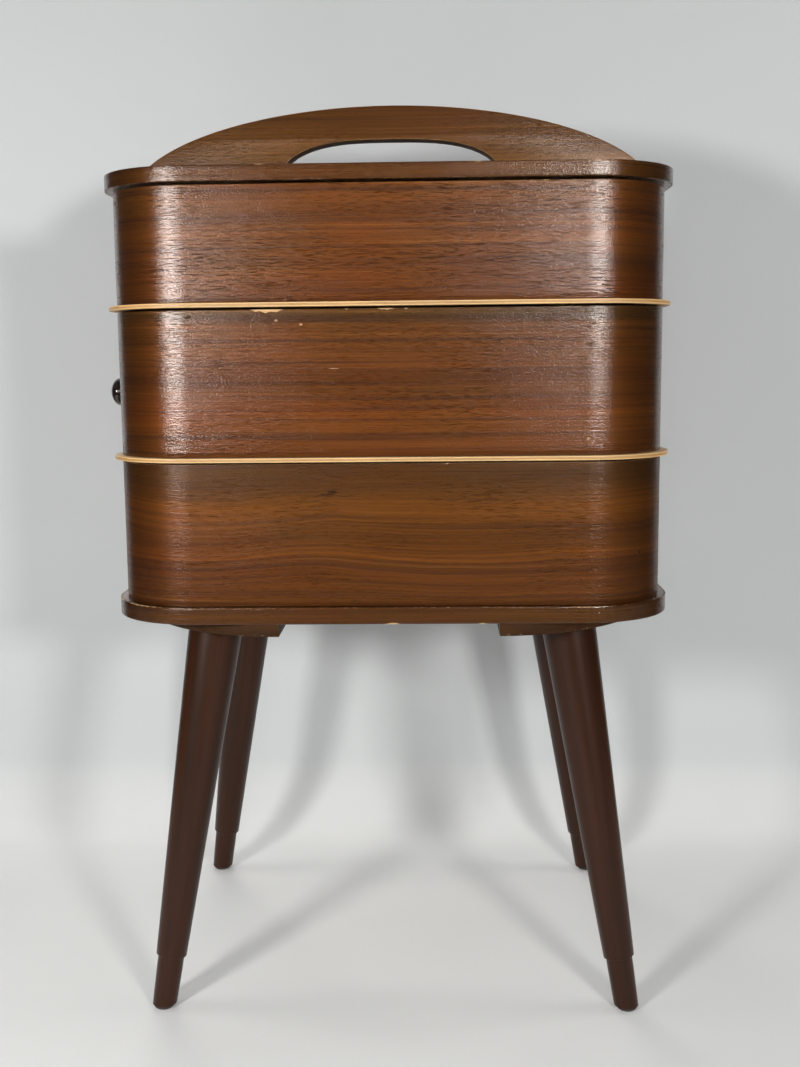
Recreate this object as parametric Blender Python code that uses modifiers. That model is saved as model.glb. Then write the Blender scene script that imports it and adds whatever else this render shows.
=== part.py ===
"""Three-tier swivel sewing box on four splayed legs.

Metres, +Z up, the front faces -Y. A fixed lower box, two swivelling trays and a swivelling lid are
stacked on one upright steel rod, which stands in the rear right corner. Positions inside the script
are measured from the centre of the base board's outline; the frame empty shifts everything by half
of the knob's extra reach, so that the whole object is centred on the origin.
"""
import math

import bmesh
import bpy
from mathutils import Vector

# Clearances
TOUCH = 0.0003              # gap between two pieces that rest on or in each other
ROD_CLEARANCE = 0.0003      # radial play of everything that turns on the rod

# Boards and walls
PLATE_WIDTH = 0.440         # outline shared by the base board, the tray plates and the lid
PLATE_DEPTH = 0.320
PLATE_CORNER_R = 0.071
OVERHANG = 0.006            # how far the boards stand out beyond the walls
WALL_THICK = 0.004
BASE_THICK = 0.013
TRAY_PLATE_THICK = 0.0036
LID_THICK = 0.0116
BAND_THICK = 0.0008         # veneer band round the edges of the base board and the lid
LOWER_WALL_HEIGHT = 0.1091
MIDDLE_WALL_HEIGHT = 0.1100
UPPER_WALL_HEIGHT = 0.0857
CORNER_STEPS = 12

# Legs
LEG_HEIGHT = 0.309          # floor to the underside of the leg boards
LEG_TOP_INSET_X = 0.079     # leg axis at the top, from the ends and the front of the base board
LEG_TOP_INSET_Y = 0.052
FOOT_INSET_X = 0.033        # leg axis at the floor
FOOT_INSET_Y = 0.019
LEG_TOP_R = 0.0215
LEG_STEP_R = 0.0122
LEG_STEP_HEIGHT = 0.043
LEG_STEP_EDGE = 0.0012
TIP_TOP_R = 0.0104
TIP_END_R = 0.0090
GLIDE_R = 0.0080
GLIDE_THICK = 0.003
GLIDE_EDGE = 0.0012
GLIDE_PIN_R = 0.0015
GLIDE_PIN_LENGTH = 0.010
LEG_BOARD_THICK = 0.010
LEG_BOARD_LENGTH = 0.132    # from its straight inner edge to its rounded outer end
LEG_BOARD_END_INSET = 0.004
LEG_BOARD_SIDE_INSET = 0.001
LEG_BOLT_R = 0.004
LEG_BOLT_IN_LEG = 0.024
LEG_BOLT_IN_BASE = 0.009

# Pivot rod and what is on it
ROD_R = 0.004
POST_R = 0.011
SPACER_THICK = 0.0008       # washers that keep the tiers apart
SPACER_R = 0.0095
NUT_ACROSS_FLATS = 0.013
NUT_THICK = 0.0055
NUT_WASHER_R = 0.009
NUT_WASHER_THICK = 0.0014
ROD_BELOW_NUT = 0.002
CAP_R = 0.0085
CAP_HEIGHT = 0.0055
CAP_SKIN = 0.0018           # metal above the end of the rod

# Handle
HANDLE_THICK = 0.019
HANDLE_HEIGHT = 0.069
HANDLE_END_INSET = 0.002
SLOT_HALF_WIDTH = 0.094
SLOT_HEIGHT = 0.035
SLOT_ABOVE_LID = 0.006
HANDLE_SCREW_SPACING = 0.300
HANDLE_SCREW_R = 0.002
HANDLE_SCREW_HEAD_R = 0.004
HANDLE_SCREW_IN_HANDLE = 0.018

# Knob on the left end of the middle tray
KNOB_HEIGHT = 0.047         # axis above the foot of the middle wall
KNOB_REACH = 0.0315         # from the wall to the top of the dome
KNOB_HEAD_R = 0.0118
KNOB_DOME = 0.0075
KNOB_RIM = 0.0030
KNOB_BACK = 0.0025
KNOB_NECK_R = 0.0050
KNOB_FOOT_R = 0.0070
KNOB_SCREW_R = 0.0019
KNOB_SCREW_IN_KNOB = 0.012
KNOB_SCREW_HEAD_R = 0.0042
KNOB_SCREW_HEAD_THICK = 0.0022

# Dividers
DIVIDER_THICK = 0.003
UPPER_DIVIDER_HEIGHT = 0.052
MIDDLE_DIVIDER_HEIGHT = 0.070
MIDDLE_DIVIDER_X = 0.060

# Heights of the stack, each the underside of its piece
TRAY_GAP = SPACER_THICK + 2 * TOUCH
LEG_BOARD_Z = LEG_HEIGHT
BASE_Z = LEG_BOARD_Z + LEG_BOARD_THICK
LOWER_WALL_Z = BASE_Z + BASE_THICK
MIDDLE_PLATE_Z = LOWER_WALL_Z + LOWER_WALL_HEIGHT + TRAY_GAP
MIDDLE_WALL_Z = MIDDLE_PLATE_Z + TRAY_PLATE_THICK
UPPER_PLATE_Z = MIDDLE_WALL_Z + MIDDLE_WALL_HEIGHT + TRAY_GAP
UPPER_WALL_Z = UPPER_PLATE_Z + TRAY_PLATE_THICK
LID_Z = UPPER_WALL_Z + UPPER_WALL_HEIGHT + TRAY_GAP
HANDLE_Z = LID_Z + LID_THICK

# Plan places that follow from the sizes above
WALL_INSET = OVERHANG
INNER_INSET = OVERHANG + WALL_THICK
INNER_HALF_WIDTH = PLATE_WIDTH / 2 - INNER_INSET
INNER_HALF_DEPTH = PLATE_DEPTH / 2 - INNER_INSET
POST_FROM_ARC = (PLATE_CORNER_R - INNER_INSET - POST_R - TOUCH) / math.sqrt(2)
PIVOT_X = PLATE_WIDTH / 2 - PLATE_CORNER_R + POST_FROM_ARC
PIVOT_Y = PLATE_DEPTH / 2 - PLATE_CORNER_R + POST_FROM_ARC
BORE_R = ROD_R + ROD_CLEARANCE
FRAME_SHIFT = max(KNOB_REACH - OVERHANG, 0) / 2

CORNERS = {"front_left": (-1, -1), "front_right": (1, -1), "rear_left": (-1, 1), "rear_right": (1, 1)}


def clear_scene():
    for obj in list(bpy.data.objects):
        bpy.data.objects.remove(obj, do_unlink=True)


def new_collection(name):
    collection = bpy.data.collections.new(name)
    bpy.context.scene.collection.children.link(collection)
    return collection


def new_material(name, colour, roughness, metallic=0.0):
    material = bpy.data.materials.new(name)
    material.use_nodes = True
    shader = material.node_tree.nodes["Principled BSDF"]
    shader.inputs["Base Color"].default_value = (*colour, 1.0)
    shader.inputs["Roughness"].default_value = roughness
    shader.inputs["Metallic"].default_value = metallic
    return material


clear_scene()
PARTS = new_collection("sewing_box")
CUTTERS = new_collection("cutters")

MATERIALS = {
    "veneer": new_material("walnut_veneer", (0.20, 0.075, 0.030), 0.35),
    "plywood": new_material("birch_plywood", (0.62, 0.42, 0.20), 0.50),
    "band": new_material("edge_veneer", (0.26, 0.11, 0.045), 0.40),
    "leg": new_material("dark_stained_beech", (0.055, 0.022, 0.014), 0.40),
    "leg_board": new_material("stained_leg_board", (0.15, 0.065, 0.028), 0.50),
    "post": new_material("plain_beech", (0.55, 0.36, 0.20), 0.55),
    "steel": new_material("zinc_plated_steel", (0.60, 0.60, 0.60), 0.30, 1.0),
    "brass": new_material("brass", (0.75, 0.55, 0.25), 0.30, 1.0),
    "glide": new_material("black_plastic", (0.020, 0.018, 0.017), 0.45),
    "knob": new_material("glossy_black_knob", (0.012, 0.007, 0.007), 0.12),
}


def add_empty(name, parent, place):
    empty = bpy.data.objects.new(name, None)
    empty.parent = parent
    empty.location = place
    PARTS.objects.link(empty)
    return empty


def attach(obj, material, parent, place):
    """Put an object at a place measured from the base board's centre, under its group's empty."""
    obj.data.materials.append(MATERIALS[material])
    obj.parent = parent
    group_origin = parent.location if parent.parent else Vector((0, 0, 0))
    obj.location = Vector(place) - group_origin
    PARTS.objects.link(obj)
    return obj


def make_cutter(obj, place):
    obj.parent = FRAME
    obj.location = place
    obj.hide_render = True
    obj.display_type = "WIRE"
    CUTTERS.objects.link(obj)
    return obj


def cut(obj, cutter, operation="DIFFERENCE"):
    modifier = obj.modifiers.new(cutter.name, "BOOLEAN")
    modifier.operation = operation
    modifier.solver = "EXACT"
    modifier.object = cutter


# Outlines and profiles

def plate_outline(inset=0.0):
    """The rounded rectangle of the boards, moved inwards by an inset."""
    half_x = PLATE_WIDTH / 2 - PLATE_CORNER_R
    half_y = PLATE_DEPTH / 2 - PLATE_CORNER_R
    radius = PLATE_CORNER_R - inset
    points = []
    for quarter, (side_x, side_y) in enumerate([(1, 1), (-1, 1), (-1, -1), (1, -1)]):
        for step in range(CORNER_STEPS + 1):
            angle = math.pi / 2 * (quarter + step / CORNER_STEPS)
            points.append((side_x * half_x + radius * math.cos(angle),
                           side_y * half_y + radius * math.sin(angle)))
    return points


def circle_outline(x, y, radius, steps=24):
    return [(x + radius * math.cos(2 * math.pi * i / steps), y + radius * math.sin(2 * math.pi * i / steps))
            for i in range(steps)]


def arch_outline(half_width, height, foot, power, end_power, steps):
    """An arch that stands on a straight foot line: height * (1 - |x / a| ** power) ** end_power."""
    points = []
    for i in range(steps + 1):
        share = math.cos(math.pi * i / steps)
        rise = max(1 - abs(share) ** power, 0) ** end_power
        points.append((half_width * share, foot + height * rise))
    return points


def half_oval_outline(side, steps=24):
    """A leg board: a straight inner edge, and a half oval out to the end of the base board."""
    outer = PLATE_WIDTH / 2 - LEG_BOARD_END_INSET
    inner = outer - LEG_BOARD_LENGTH
    half_depth = PLATE_DEPTH / 2 - LEG_BOARD_SIDE_INSET
    points = []
    for i in range(steps + 1):
        angle = math.pi * (i / steps - 0.5)
        points.append((side * (inner + LEG_BOARD_LENGTH * math.cos(angle)), half_depth * math.sin(angle)))
    return points


def arc_profile(radius, z, width, height, steps=5):
    """A quarter of an ellipse that runs outwards and down, from (radius - width, z) to (radius, z - height)."""
    return [(radius - width + width * math.sin(math.pi / 2 * i / steps),
             z - height + height * math.cos(math.pi / 2 * i / steps)) for i in range(steps + 1)]


# Makers of solids

def flat_object(name, outline, holes, thickness):
    """A flat outline with holes, as a filled curve with its middle plane at its own Z = 0."""
    curve = bpy.data.curves.new(name, "CURVE")
    curve.dimensions = "2D"
    curve.fill_mode = "BOTH"
    curve.extrude = thickness / 2
    for points in [outline, *holes]:
        spline = curve.splines.new("POLY")
        spline.points.add(len(points) - 1)
        for point, (x, y) in zip(spline.points, points):
            point.co = (x, y, 0, 1)
        spline.use_cyclic_u = True
    return bpy.data.objects.new(name, curve)


def as_mesh(obj):
    """The same object as a welded mesh, which can take a Boolean."""
    bpy.context.scene.collection.objects.link(obj)
    bpy.context.view_layer.update()
    evaluated = obj.evaluated_get(bpy.context.evaluated_depsgraph_get())
    mesh = bpy.data.meshes.new_from_object(evaluated)
    name = obj.name
    bpy.data.objects.remove(obj, do_unlink=True)
    welded = bmesh.new()
    welded.from_mesh(mesh)
    bmesh.ops.remove_doubles(welded, verts=welded.verts, dist=1e-6)
    welded.to_mesh(mesh)
    welded.free()
    mesh.materials.clear()
    solid = bpy.data.objects.new(name, mesh)
    return solid


def board(name, outline, holes, z, thickness, material, parent, solid=False):
    """A horizontal board or ring whose nominal underside is at z; it clears what it rests on.

    A solid one is a mesh, which can be cut.
    """
    obj = flat_object(name, outline, holes, thickness - TOUCH)
    if solid:
        obj = as_mesh(obj)
    return attach(obj, material, parent, (0, 0, z + (thickness + TOUCH) / 2))


def cylinder(name, radius, length, steps=24):
    mesh = bpy.data.meshes.new(name)
    form = bmesh.new()
    bmesh.ops.create_cone(form, cap_ends=True, segments=steps, radius1=radius, radius2=radius, depth=length)
    form.to_mesh(mesh)
    form.free()
    mesh.shade_smooth()
    mesh.set_sharp_from_angle(angle=math.radians(35))
    return bpy.data.objects.new(name, mesh)


def box(name, size_x, size_y, size_z):
    mesh = bpy.data.meshes.new(name)
    form = bmesh.new()
    bmesh.ops.create_cube(form, size=1)
    bmesh.ops.scale(form, vec=(size_x, size_y, size_z), verts=form.verts)
    form.to_mesh(mesh)
    form.free()
    return bpy.data.objects.new(name, mesh)


def turned(name, profile, steps=24):
    """A turned piece: a profile of (radius, z) points that runs down its outer side."""
    mesh = bpy.data.meshes.new(name)
    edges = [(i, i + 1) for i in range(len(profile) - 1)]
    mesh.from_pydata([(radius, 0, z) for radius, z in profile], edges, [])
    obj = bpy.data.objects.new(name, mesh)
    screw = obj.modifiers.new("turn", "SCREW")
    screw.steps = steps
    screw.render_steps = steps
    screw.use_merge_vertices = True
    screw.merge_threshold = 0.00001
    screw.use_smooth_shade = True
    return obj


# Base: leg boards, legs and the fixed lower box

def leg_top(side_x, side_y):
    return Vector((side_x * (PLATE_WIDTH / 2 - LEG_TOP_INSET_X), side_y * (PLATE_DEPTH / 2 - LEG_TOP_INSET_Y),
                   LEG_HEIGHT))


def leg_foot(side_x, side_y):
    return Vector((side_x * (PLATE_WIDTH / 2 - FOOT_INSET_X), side_y * (PLATE_DEPTH / 2 - FOOT_INSET_Y), 0))


def leg_bolt_bore(name, side_x, side_y):
    """Cutter for a leg bolt: it runs from the leg, through the leg board, into the base board."""
    top = leg_top(side_x, side_y)
    low = LEG_HEIGHT - LEG_BOLT_IN_LEG - TOUCH
    high = BASE_Z + LEG_BOLT_IN_BASE + TOUCH
    return make_cutter(cylinder(name, LEG_BOLT_R + TOUCH, high - low), (top.x, top.y, (low + high) / 2))


def add_leg(corner, side_x, side_y, trim, bolt_bore):
    top = leg_top(side_x, side_y)
    foot = leg_foot(side_x, side_y)
    axis = top - foot
    beyond = LEG_TOP_R                     # spare length at both ends, which the level trim takes off
    slope = (LEG_TOP_R - LEG_STEP_R) / (axis.length - LEG_STEP_HEIGHT)
    profile = [(0, axis.length + beyond),
               (LEG_TOP_R + slope * beyond, axis.length + beyond),
               (LEG_STEP_R, LEG_STEP_HEIGHT + LEG_STEP_EDGE),
               (LEG_STEP_R - LEG_STEP_EDGE / 2, LEG_STEP_HEIGHT),
               (TIP_TOP_R, LEG_STEP_HEIGHT),
               (TIP_END_R, -beyond),
               (0, -beyond)]
    leg = attach(turned(f"leg_{corner}", profile), "leg", FRAME, foot)
    leg.rotation_euler = axis.to_track_quat("Z", "Y").to_euler()
    pin_bore = cylinder(f"glide_bore_{corner}", GLIDE_PIN_R + TOUCH, 2 * (GLIDE_PIN_LENGTH + TOUCH), 16)
    make_cutter(pin_bore, (foot.x, foot.y, GLIDE_THICK))
    cut(leg, trim, "INTERSECT")
    cut(leg, bolt_bore)
    cut(leg, pin_bore)

    glide_profile = [(0, GLIDE_THICK + GLIDE_PIN_LENGTH),
                     (GLIDE_PIN_R, GLIDE_THICK + GLIDE_PIN_LENGTH),
                     (GLIDE_PIN_R, GLIDE_THICK),
                     (GLIDE_R, GLIDE_THICK),
                     (GLIDE_R, GLIDE_EDGE),
                     (GLIDE_R - GLIDE_EDGE, 0),
                     (0, 0)]
    attach(turned(f"foot_glide_{corner}", glide_profile), "glide", FRAME, foot)

    bolt = cylinder(f"leg_bolt_{corner}", LEG_BOLT_R, LEG_BOLT_IN_LEG + LEG_BOARD_THICK + LEG_BOLT_IN_BASE)
    bolt_middle = LEG_HEIGHT + (LEG_BOARD_THICK + LEG_BOLT_IN_BASE - LEG_BOLT_IN_LEG) / 2
    attach(bolt, "steel", FRAME, (top.x, top.y, bolt_middle))


def add_base():
    bolt_bores = {corner: leg_bolt_bore(f"bolt_bore_{corner}", *sides) for corner, sides in CORNERS.items()}
    trim_low = GLIDE_THICK + TOUCH
    trim = box("leg_trim", 2 * PLATE_WIDTH, 2 * PLATE_DEPTH, LEG_HEIGHT - trim_low)
    make_cutter(trim, (0, 0, (LEG_HEIGHT + trim_low) / 2))
    for corner, sides in CORNERS.items():
        add_leg(corner, *sides, trim, bolt_bores[corner])

    nut_room = make_cutter(cylinder("pivot_nut_room", NUT_WASHER_R + TOUCH, 2 * LEG_BOARD_THICK),
                           (PIVOT_X, PIVOT_Y, LEG_BOARD_Z + LEG_BOARD_THICK / 2))
    for label, side in (("left", -1), ("right", 1)):
        holes = []
        for side_y in (-1, 1):
            top = leg_top(side, side_y)
            holes.append(circle_outline(top.x, top.y, LEG_BOLT_R + TOUCH))
        leg_board = board(f"leg_board_{label}", half_oval_outline(side), holes, LEG_BOARD_Z, LEG_BOARD_THICK,
                          "leg_board", FRAME, solid=True)
        cut(leg_board, nut_room)

    base = board("base_board", plate_outline(BAND_THICK + TOUCH), [circle_outline(PIVOT_X, PIVOT_Y, BORE_R)],
                 BASE_Z, BASE_THICK, "veneer", FRAME, solid=True)
    for bore in bolt_bores.values():
        cut(base, bore)
    board("base_edge_band", plate_outline(), [plate_outline(BAND_THICK)], BASE_Z, BASE_THICK, "band", FRAME)
    board("lower_shell", plate_outline(WALL_INSET), [plate_outline(INNER_INSET)], LOWER_WALL_Z,
          LOWER_WALL_HEIGHT, "veneer", FRAME)
    add_post("lower", LOWER_WALL_Z, LOWER_WALL_HEIGHT, FRAME)


# Pivot

def ring(name, outline, bore_r, z, thickness, material, parent):
    return board(name, outline, [circle_outline(PIVOT_X, PIVOT_Y, bore_r)], z, thickness, material, parent)


def add_post(tier, wall_z, wall_height, parent):
    """A corner post with the rod's bore, and the spacer washer that lies on it."""
    ring(f"{tier}_pivot_post", circle_outline(PIVOT_X, PIVOT_Y, POST_R), BORE_R, wall_z, wall_height,
         "post", parent)
    ring(f"{tier}_spacer_washer", circle_outline(PIVOT_X, PIVOT_Y, SPACER_R), BORE_R, wall_z + wall_height,
         SPACER_THICK + TOUCH, "steel", parent)


def add_pivot():
    nut_washer_z = BASE_Z - NUT_WASHER_THICK - TOUCH
    nut_z = nut_washer_z - NUT_THICK
    ring("pivot_nut_washer", circle_outline(PIVOT_X, PIVOT_Y, NUT_WASHER_R), ROD_R + TOUCH, nut_washer_z,
         NUT_WASHER_THICK, "steel", FRAME)
    nut_corner_r = NUT_ACROSS_FLATS / math.sqrt(3)
    ring("pivot_nut", circle_outline(PIVOT_X, PIVOT_Y, nut_corner_r, steps=6), ROD_R + TOUCH, nut_z,
         NUT_THICK, "steel", FRAME)

    cap_z = HANDLE_Z + TOUCH
    rod_low = nut_z - ROD_BELOW_NUT
    rod_high = cap_z + CAP_HEIGHT - CAP_SKIN - TOUCH
    rod = cylinder("pivot_rod", ROD_R, rod_high - rod_low)
    attach(rod, "steel", FRAME, (PIVOT_X, PIVOT_Y, (rod_low + rod_high) / 2))

    cap_bore = rod_high + TOUCH - cap_z
    cap_profile = [(0, CAP_HEIGHT), *arc_profile(CAP_R, CAP_HEIGHT, CAP_R, CAP_HEIGHT * 0.7)[1:],
                   (CAP_R, 0), (ROD_R + TOUCH, 0), (ROD_R + TOUCH, cap_bore), (0, cap_bore)]
    attach(turned("pivot_cap", cap_profile), "brass", FRAME, (PIVOT_X, PIVOT_Y, cap_z))


# Swivelling trays

def add_tray(tier, plate_z, wall_height, parent):
    wall_z = plate_z + TRAY_PLATE_THICK
    board(f"{tier}_base_plate", plate_outline(), [circle_outline(PIVOT_X, PIVOT_Y, BORE_R)], plate_z,
          TRAY_PLATE_THICK, "plywood", parent)
    add_post(tier, wall_z, wall_height, parent)
    return board(f"{tier}_shell", plate_outline(WALL_INSET), [plate_outline(INNER_INSET)], wall_z, wall_height,
                 "veneer", parent, solid=True)


def add_divider(name, start, end, wall_z, height, parent):
    """An upright strip between two points in plan, with its ends clear of what they meet."""
    start, end = Vector(start), Vector(end)
    along = end - start
    strip = box(name, along.length - 2 * TOUCH, DIVIDER_THICK, height - TOUCH)
    middle = (start + end) / 2
    attach(strip, "plywood", parent, (middle.x, middle.y, wall_z + (height + TOUCH) / 2))
    strip.rotation_euler.z = math.atan2(along.y, along.x)


def add_knob(shell):
    wall_x = -PLATE_WIDTH / 2 + WALL_INSET
    z = MIDDLE_WALL_Z + KNOB_HEIGHT
    bore = cylinder("knob_screw_bore", KNOB_SCREW_R + TOUCH, 4 * WALL_THICK, 16)
    bore.rotation_euler.y = math.pi / 2
    make_cutter(bore, (wall_x, 0, z))
    cut(shell, bore)

    rim_z = KNOB_REACH - KNOB_DOME - TOUCH
    back_z = rim_z - KNOB_RIM
    profile = [(0, KNOB_REACH - TOUCH), *arc_profile(KNOB_HEAD_R, KNOB_REACH - TOUCH, KNOB_HEAD_R, KNOB_DOME)[1:],
               (KNOB_HEAD_R - 0.3 * KNOB_RIM, back_z),
               (KNOB_NECK_R, back_z - KNOB_BACK),
               (KNOB_NECK_R, KNOB_BACK),
               (KNOB_FOOT_R, 0),
               (KNOB_SCREW_R + TOUCH, 0),
               (KNOB_SCREW_R + TOUCH, KNOB_SCREW_IN_KNOB + TOUCH),
               (0, KNOB_SCREW_IN_KNOB + TOUCH)]
    knob = attach(turned("knob", profile), "knob", MIDDLE, (wall_x - TOUCH, 0, z))
    knob.rotation_euler.y = -math.pi / 2

    head_z = -WALL_THICK - 2 * TOUCH       # along the knob's axis, from its foot
    fixing = [(0, KNOB_SCREW_IN_KNOB), (KNOB_SCREW_R, KNOB_SCREW_IN_KNOB), (KNOB_SCREW_R, head_z),
              (KNOB_SCREW_HEAD_R, head_z), (KNOB_SCREW_HEAD_R, head_z - KNOB_SCREW_HEAD_THICK / 2),
              (KNOB_SCREW_HEAD_R * 0.6, head_z - KNOB_SCREW_HEAD_THICK), (0, head_z - KNOB_SCREW_HEAD_THICK)]
    screw = attach(turned("knob_screw", fixing, steps=16), "steel", MIDDLE, (wall_x - TOUCH, 0, z))
    screw.rotation_euler.y = -math.pi / 2


def add_middle_tray():
    shell = add_tray("middle", MIDDLE_PLATE_Z, MIDDLE_WALL_HEIGHT, MIDDLE)
    add_divider("middle_divider", (MIDDLE_DIVIDER_X, -INNER_HALF_DEPTH), (MIDDLE_DIVIDER_X, INNER_HALF_DEPTH),
                MIDDLE_WALL_Z, MIDDLE_DIVIDER_HEIGHT, MIDDLE)
    add_knob(shell)


def add_upper_tray():
    add_tray("upper", UPPER_PLATE_Z, UPPER_WALL_HEIGHT, UPPER)
    add_divider("upper_long_divider", (-INNER_HALF_WIDTH, 0), (INNER_HALF_WIDTH, 0), UPPER_WALL_Z,
                UPPER_DIVIDER_HEIGHT, UPPER)
    for label, side in (("left", -1), ("right", 1)):
        x = side * INNER_HALF_WIDTH / 3     # three equal compartments along the front
        add_divider(f"upper_cross_divider_{label}", (x, -INNER_HALF_DEPTH), (x, -DIVIDER_THICK / 2), UPPER_WALL_Z,
                    UPPER_DIVIDER_HEIGHT, UPPER)


# Lid and handle

def screw_profile(clearance):
    """A countersunk screw that points up from the lid's underside; with a clearance it is its bore."""
    tip_z = LID_THICK + HANDLE_SCREW_IN_HANDLE + clearance
    shank_r = HANDLE_SCREW_R + clearance
    head_r = HANDLE_SCREW_HEAD_R + clearance
    head_depth = HANDLE_SCREW_HEAD_R - HANDLE_SCREW_R
    foot = TOUCH if clearance == 0 else -TOUCH
    return [(0, tip_z), (shank_r, tip_z), (shank_r, head_depth + TOUCH), (head_r, TOUCH), (head_r, foot), (0, foot)]


def add_lid():
    lid = board("lid_board", plate_outline(BAND_THICK + TOUCH), [circle_outline(PIVOT_X, PIVOT_Y, BORE_R)],
                LID_Z, LID_THICK, "veneer", LID, solid=True)
    board("lid_edge_band", plate_outline(), [plate_outline(BAND_THICK)], LID_Z, LID_THICK, "band", LID)

    half_width = PLATE_WIDTH / 2 - HANDLE_END_INSET
    arch = arch_outline(half_width, HANDLE_HEIGHT, TOUCH, 2.0, 0.55, 48)
    slot = arch_outline(SLOT_HALF_WIDTH, SLOT_HEIGHT, SLOT_ABOVE_LID, 3.0, 0.46, 32)
    handle = attach(as_mesh(flat_object("handle", arch, [slot], HANDLE_THICK)), "veneer", LID, (0, 0, HANDLE_Z))
    handle.rotation_euler.x = math.pi / 2

    for label, side in (("left", -1), ("right", 1)):
        place = (side * HANDLE_SCREW_SPACING / 2, 0, LID_Z + TOUCH)
        screw = attach(turned(f"handle_screw_{label}", screw_profile(0), steps=16), "steel", LID, place)
        bore = make_cutter(turned(f"{screw.name}_bore", screw_profile(TOUCH), steps=16), place)
        cut(lid, bore)
        cut(handle, bore)


FRAME = add_empty("box_frame", None, (FRAME_SHIFT, 0, 0))
MIDDLE = add_empty("middle_tray_pivot", FRAME, (PIVOT_X, PIVOT_Y, MIDDLE_PLATE_Z))
UPPER = add_empty("upper_tray_pivot", FRAME, (PIVOT_X, PIVOT_Y, UPPER_PLATE_Z))
LID = add_empty("lid_pivot", FRAME, (PIVOT_X, PIVOT_Y, LID_Z))

add_base()
add_pivot()
add_middle_tray()
add_upper_tray()
add_lid()
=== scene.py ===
import math

import bmesh
import bpy
import numpy as np
from mathutils import Matrix, Vector


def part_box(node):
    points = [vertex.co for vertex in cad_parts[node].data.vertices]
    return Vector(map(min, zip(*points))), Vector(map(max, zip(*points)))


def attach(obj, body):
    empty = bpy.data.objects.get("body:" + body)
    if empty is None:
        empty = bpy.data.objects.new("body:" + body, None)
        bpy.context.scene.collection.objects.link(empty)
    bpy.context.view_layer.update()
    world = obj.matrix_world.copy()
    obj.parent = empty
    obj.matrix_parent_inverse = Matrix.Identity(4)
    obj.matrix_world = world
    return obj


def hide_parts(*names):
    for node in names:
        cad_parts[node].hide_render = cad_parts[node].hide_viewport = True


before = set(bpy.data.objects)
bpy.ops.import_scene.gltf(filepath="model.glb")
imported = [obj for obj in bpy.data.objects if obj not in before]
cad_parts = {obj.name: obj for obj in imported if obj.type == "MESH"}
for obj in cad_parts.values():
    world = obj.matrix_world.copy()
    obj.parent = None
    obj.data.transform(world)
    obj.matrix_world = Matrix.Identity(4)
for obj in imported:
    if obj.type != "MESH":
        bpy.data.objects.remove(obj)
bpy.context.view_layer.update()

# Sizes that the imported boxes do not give, in metres
PLATE_CORNER_R = 0.071      # corner of the boards in plan
WALL_THICK = 0.004
LEG_TOP_R = 0.0215
LEG_STEP_R = 0.0122
LEG_STEP_HEIGHT = 0.043
TIP_TOP_R = 0.0104
TIP_END_R = 0.0090
HANDLE_HALF_WIDTH = 0.218
HANDLE_HEIGHT = 0.069
SLOT_HALF_WIDTH = 0.094
SLOT_HEIGHT = 0.035
SLOT_ABOVE_LID = 0.006
CLEAR = 0.0003              # gap between touching pieces
THROUGH = 0.01              # how far a bore's cutter reaches past what it goes through
CHIP_TOP = 0.0004           # close rows that carry a wall's chips: how far under the rim they start,
CHIP_ROW = 0.0003           # how far apart they are
CHIP_ROWS = 9               # and how many there are
BAND_THICK = 0.0008         # veneer strip round the edge of a board
SCREW_SLOT = 0.0009         # width of the slot in a screw's head
CORNERS = ("front_left", "front_right", "rear_left", "rear_right")


def box_of(node):
    """Lowest corner, highest corner, middle and size of a CAD node."""
    low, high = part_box(node)
    return low, high, (low + high) / 2, high - low


# ---------------------------------------------------------------- node trees

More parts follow.
